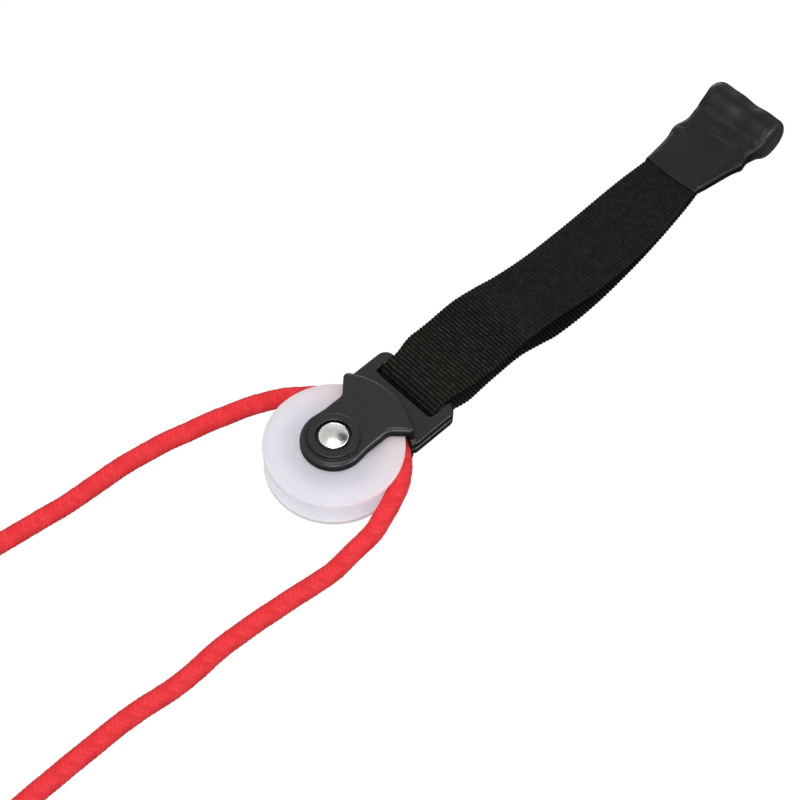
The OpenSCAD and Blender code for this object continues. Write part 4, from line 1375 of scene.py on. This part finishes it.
def shell_field(x, y, z):
    """Front half of the block, for z above the parting plane."""
    radius = np.hypot(x, y)
    cheek_plan = blend_max(polygon_distance(x, y, CHEEK_POLYGON), radius - ARC_R, 2.2)
    body = extrude(cheek_plan, z, CHEEK_IN, FACE_Z, 0.35, 1.9)
    # boss, with a fine groove round its foot
    boss = extrude(radius - BOSS_R, z, FACE_Z - 2, BOSS_Z, 0.1, 0.10)
    foot = np.hypot(radius - BOSS_R - 0.12, z - FACE_Z) - 0.32
    body = blend_min(blend_max(body, -foot, 0.1), boss, 0.05)
    # wall across the strap's side of the wheel
    angle = np.arctan2(y, x)
    left_end, right_end = math.radians(TIP_ANGLE - 8), math.radians(TIP_ANGLE - 2)
    beyond = np.maximum(angle - left_end, -angle - right_end)
    wall_plan = np.maximum(np.maximum(radius - ARC_R, WALL_R - radius), beyond * radius)
    body = blend_min(body, extrude(wall_plan, z, -1.0, CHEEK_IN + 0.5, 0.2, 0.2), 0.7)
    plate_plan = blend_max(polygon_distance(x, y, PLATE_POLYGON), WALL_R - radius, 0.4)
    body = blend_min(body, extrude(plate_plan, z, -6.0, PLATE_H, 0.2, 0.75), 1.1)
    # rivet's hole and counterbore
    body = blend_max(body, -(radius - 3.1), 0.1)
    body = blend_max(body, -np.maximum(radius - 6.4, SEAT_Z - z), 0.25)
    # strap slot, open round the bar
    slot_x = np.maximum(SLOT_X - x, x - (PLATE_X + 3))
    slot = round_overlap(slot_x, np.abs(y) - SLOT_HALF_W, 1.3)
    body = blend_max(body, -slot, 0.7)
    bar = np.maximum(np.hypot(x - BAR_X, z) - BAR_R, np.abs(y) - SLOT_HALF_W - 1.0)
    body = blend_min(body, bar, 0.5)
    # parting plane, with a bevel that makes the groove
    body = blend_max(body, 0.02 - z, 0.04)
    bevel = (np.minimum(plate_plan, wall_plan) + 0.60 - z) * 0.7071
    return blend_max(body, np.where(z < 1.2, bevel, -1.0), 0.08)


def build_shells():
    verts, quads = surface_nets(shell_field, (-12.8, -19.4, -0.4), (43.8, 19.4, 12.6), 0.34)
    front = make("block_front_shell", verts, quads, BLOCK)
    mount(front, "block", "front_shell")
    rear = make("block_rear_shell", verts * [1, 1, -1], quads[:, ::-1], BLOCK)
    mount(rear, "block", "rear_shell")


def build_rivet():
    """Domed head at the front, shank, rolled rim at the rear."""
    head_r, dome_h, shank_r = 5.3, 1.2, 3.0
    ball_r = (head_r**2 + dome_h**2) / (2 * dome_h)
    top = SEAT_Z + 1.8 + dome_h
    dome_angle = math.asin(head_r * 0.985 / ball_r)
    dome = []
    for k in range(25):
        angle = dome_angle * k / 24
        dome.append((max(1e-4, ball_r * math.sin(angle)), top - ball_r * (1 - math.cos(angle))))
    profile = dome + [
        (head_r, dome[-1][1] - 0.18), (head_r, SEAT_Z + 0.25), (head_r - 0.2, SEAT_Z + 0.03),
        (shank_r + 0.02, SEAT_Z + 0.03), (shank_r, SEAT_Z - 0.1),
    ]
    profile = fillet(profile, [0] * 25 + [0.1, 0.1, 0.1, 0, 0], seg=3)
    profile += [(shank_r, -SEAT_Z + 0.1), (shank_r, -SEAT_Z - 0.65), (4.15, -SEAT_Z - 0.72)]
    # the shank's rim curls outwards and leaves a dished middle
    profile += arc_points((4.0, -SEAT_Z - 1.08), 0.42, 60, -90, 8)
    dish = ((3.3, 1.48), (2.6, 1.30), (1.9, 0.75), (1.2, 0.45), (0.0001, 0.38))
    profile += [(radius, -SEAT_Z - depth) for radius, depth in dish]
    rivet = revolve("axle_rivet_domed", profile, STEEL, 128, closed=False)
    mount(rivet, "block", "axle_rivet")


# ---------------------------------------------------------------- wheel
def build_wheel():
    half_w = WHEEL_W / 2
    recess_z = half_w - RECESS_DEPTH
    # groove: round floor, then straight flanks to the rim
    floor_r = CORD_R + 0.4
    rim_share = (WHEEL_R - RUN_R) / (WHEEL_R + 1 - RUN_R)
    half_rim = floor_r + (GROOVE_W / 2 - floor_r) * rim_share
    angles = np.radians(np.linspace(0, 180, 33))
    groove = [(RUN_R - floor_r * math.sin(a), floor_r * math.cos(a)) for a in angles]
    corners = [
        (BORE_R, 0.0), (BORE_R, recess_z), (RECESS_R - 6.0, recess_z), (RECESS_R + 0.6, half_w),
        (WHEEL_R, half_w), (WHEEL_R, half_rim), groove[0], groove[1],
    ]
    upper = fillet(corners, [0, 0.3, 22.0, 22.0, 0.16, 0.16, 0, 0], seg=10)[:-1]
    lower = [(radius, -z) for radius, z in upper[::-1]]
    profile = densify(upper, 1.1, closed=False) + groove[1:-1]
    profile += densify(lower, 1.1, closed=False)[:-1]

    def dimple(verts):
        """Three shallow round dents in each recess."""
        x, y, _ = verts.T
        degrees = np.degrees(np.arctan2(y, x))
        radius = np.hypot(x, y)
        for place in (30, 150, 270):
            turn = (degrees - place + 180) % 360 - 180
            distance = np.hypot(np.radians(turn) * 12.0, radius - 12.0)
            in_recess = np.abs(np.abs(verts[:, 2]) - recess_z) < 0.2
            dent = 0.12 * np.exp(-((distance / 0.8) ** 2)) * in_recess
            verts[:, 2] -= np.sign(verts[:, 2]) * dent
        return verts

    wheel = revolve("grooved_wheel", profile, NYLON, 320, shape=dimple)
    mount(wheel, "wheel", "pulley_wheel")


build_cord("left", LEFT_PATH, 11, LEFT_SLACK)
build_cord("right", RIGHT_PATH, 23, RIGHT_SLACK)
build_handle("left", 1, LEFT_Y + PAIR_DY)
build_handle("right", -1, -RIGHT_Y - PAIR_DY)
build_strap()
build_anchor_webbing()
build_sleeve()
build_shells()
build_rivet()
build_wheel()

# CAD nodes whose shape is kept get a finished material
for node_name, node_mat in (
    ("anchor_roll", ROLL), ("anchor_stitching", THREAD), ("axle_spacer", BRASS),
    ("front_washer", WASHER), ("rear_washer", WASHER), ("rivet_washer", WASHER_STEEL),
    ("left_grip_tube", TUBE), ("right_grip_tube", TUBE),
):
    slots = CAD_NODES[node_name].data.materials
    slots.clear()
    slots.append(node_mat)

# ---------------------------------------------------------------- floor, light, camera
scene = bpy.context.scene


def build_floor():
    """Pale floor just under the block, nearly all its own light so that it stays even."""
    mat = Shader("pale_floor")
    grain = mat.noise(scale=9, detail=2, rough=0.4)
    mat.finish(
        Base_Color=mat.ramp(grain, [(0.3, (0.90, 0.90, 0.90)), (0.7, (0.93, 0.93, 0.93))]),
        Roughness=0.9, Specular_IOR_Level=0.1,
    )
    glow, mixer = mat.node("ShaderNodeEmission"), mat.node("ShaderNodeMixShader")
    glow_strength, glow_share = 1.03, 0.96
    mat.put(glow.inputs[0], (1, 1, 1))
    mat.put(glow.inputs[1], glow_strength)
    for index, value in enumerate((glow_share, mat.bsdf.outputs[0], glow.outputs[0])):
        mat.put(mixer.inputs[index], value)
    mat.put(mat.out.inputs[0], mixer.outputs[0])
    half, z = 6000, -BOSS_Z - 0.25
    corners = [(-half, -half, z), (half, -half, z), (half, half, z), (-half, half, z)]
    floor = make("floor", corners, [[0, 1, 2, 3]], mat.material, smooth=False)
    floor.visible_glossy = False
    floor.visible_diffuse = False


def build_world():
    """Studio light graded by height; the camera itself sees plain white."""
    world = bpy.data.worlds.new("studio")
    scene.world = world
    world.use_nodes = True
    sky = Tree(world.node_tree)
    out, light = sky.node("ShaderNodeOutputWorld"), sky.node("ShaderNodeBackground")
    x, y, z = sky.separate(sky.node("ShaderNodeTexCoord").outputs["Generated"])
    bands = [(0.06, 0.45), (0.20, 1.30), (0.42, 1.10), (0.64, 0.76)]  # height, brightness
    stops = [(0.0, 0.22)] + [(place, (c, c, c * 1.01)) for place, c in bands]
    sky.put(light.inputs[0], sky.ramp(z, stops + [(1.0, (0.74, 0.74, 0.71))]))
    # brighter on the camera's side (-X, -Y), dimmer on the far side
    near = sky.plus(sky.times(x, -0.55), sky.times(y, -0.83))
    lift = sky.times(sky.math("SUBTRACT", near, 0.25, clamp=True), 0.7)
    drop = sky.times(sky.math("SUBTRACT", sky.times(near, -1.0), 0.2, clamp=True), 0.45)
    sky.put(light.inputs[1], sky.math("SUBTRACT", sky.plus(lift, 0.95), drop))
    seen = sky.node("ShaderNodeBackground")
    sky.put(seen.inputs[0], (1, 1, 1))
    sky.put(seen.inputs[1], 1.0)
    is_camera = sky.node("ShaderNodeLightPath").outputs["Is Camera Ray"]
    swap = sky.node("ShaderNodeMixShader")
    for index, value in enumerate((is_camera, light.outputs[0], seen.outputs[0])):
        sky.put(swap.inputs[index], value)
    sky.put(out.inputs[0], swap.outputs[0])


# name, place, target, size (all metres), watts, whether it lights diffuse surfaces
AREA_LIGHTS = [
    ("key_softbox", (-0.12, -0.10, 1.05), (0.05, 0, 0), (0.5, 0.5), 3.4, True),
    ("side_strip", (0.33, -0.89, 0.42), (0.05, 0, 0), (0.62, 0.12), 5.0, False),
    ("front_strip", (-0.62, -0.62, 0.42), (0.0, 0, 0), (0.5, 0.14), 3.6, False),
    ("back_strip", (0.80, 0.62, 0.055), (0.0, 0, 0.01), (0.6, 0.08), 1.5, False),
]


def build_light(name, place, target, size, watts, diffuse):
    data = bpy.data.lights.new(name, "AREA")
    data.shape = "RECTANGLE"
    data.size, data.size_y = size
    data.energy = watts
    lamp = bpy.data.objects.new(name, data)
    scene.collection.objects.link(lamp)
    lamp.location = place
    lamp.rotation_mode = "QUATERNION"
    lamp.rotation_quaternion = (Vector(target) - Vector(place)).to_track_quat("-Z", "Y")
    lamp.visible_diffuse = diffuse


def build_card(name, direction, half_w, half_h, mat):
    """Dark oval 1 m out in a direction, seen only in reflections."""
    direction = np.array(direction)
    across = np.cross(direction, [0, 0, 1.0])
    across /= np.linalg.norm(across)
    upward = np.cross(across, direction)
    rim = [
        direction * 1000 + across * half_w * math.cos(a) + upward * half_h * math.sin(a)
        for a in np.linspace(0, 2 * math.pi, 24, endpoint=False)
    ]
    card = make(name, rim, [[0, k, k + 1] for k in range(1, 23)], mat, smooth=False)
    for ray in ("camera", "diffuse", "shadow", "transmission", "volume_scatter"):
        setattr(card, f"visible_{ray}", False)


def build_camera():
    data = bpy.data.cameras.new("camera")
    camera = bpy.data.objects.new("camera", data)
    scene.collection.objects.link(camera)
    scene.camera = camera
    data.sensor_width = 36.0
    data.lens = 79.677
    data.clip_start, data.clip_end = 0.02, 30.0
    place, target = Vector((-0.2161, -0.2459, 0.5304)), Vector((0.0324, 0.0002, 0.0))
    roll = math.radians(1.47)
    forward = (target - place).normalized()
    level = forward.cross(Vector((0, 0, 1))).normalized()
    upright = level.cross(forward)
    right = level * math.cos(roll) + upright * math.sin(roll)
    up = -level * math.sin(roll) + upright * math.cos(roll)
    rows = [(right[i], up[i], -forward[i], place[i]) for i in range(3)]
    camera.matrix_world = Matrix((*rows, (0, 0, 0, 1)))


build_floor()
build_world()
for entry in AREA_LIGHTS:
    build_light(*entry)
card_mat = Shader("dark_card").finish(Base_Color=(0.02, 0.02, 0.02), Roughness=0.9)
build_card("dark_card", (0.56, -0.06, 0.826), 320, 290, card_mat)
build_card("dark_card_low", (0.957, 0.17, 0.23), 330, 170, card_mat)
build_camera()

scene.view_settings.view_transform = "Standard"
scene.view_settings.look = "None"

bpy.context.view_layer.update()
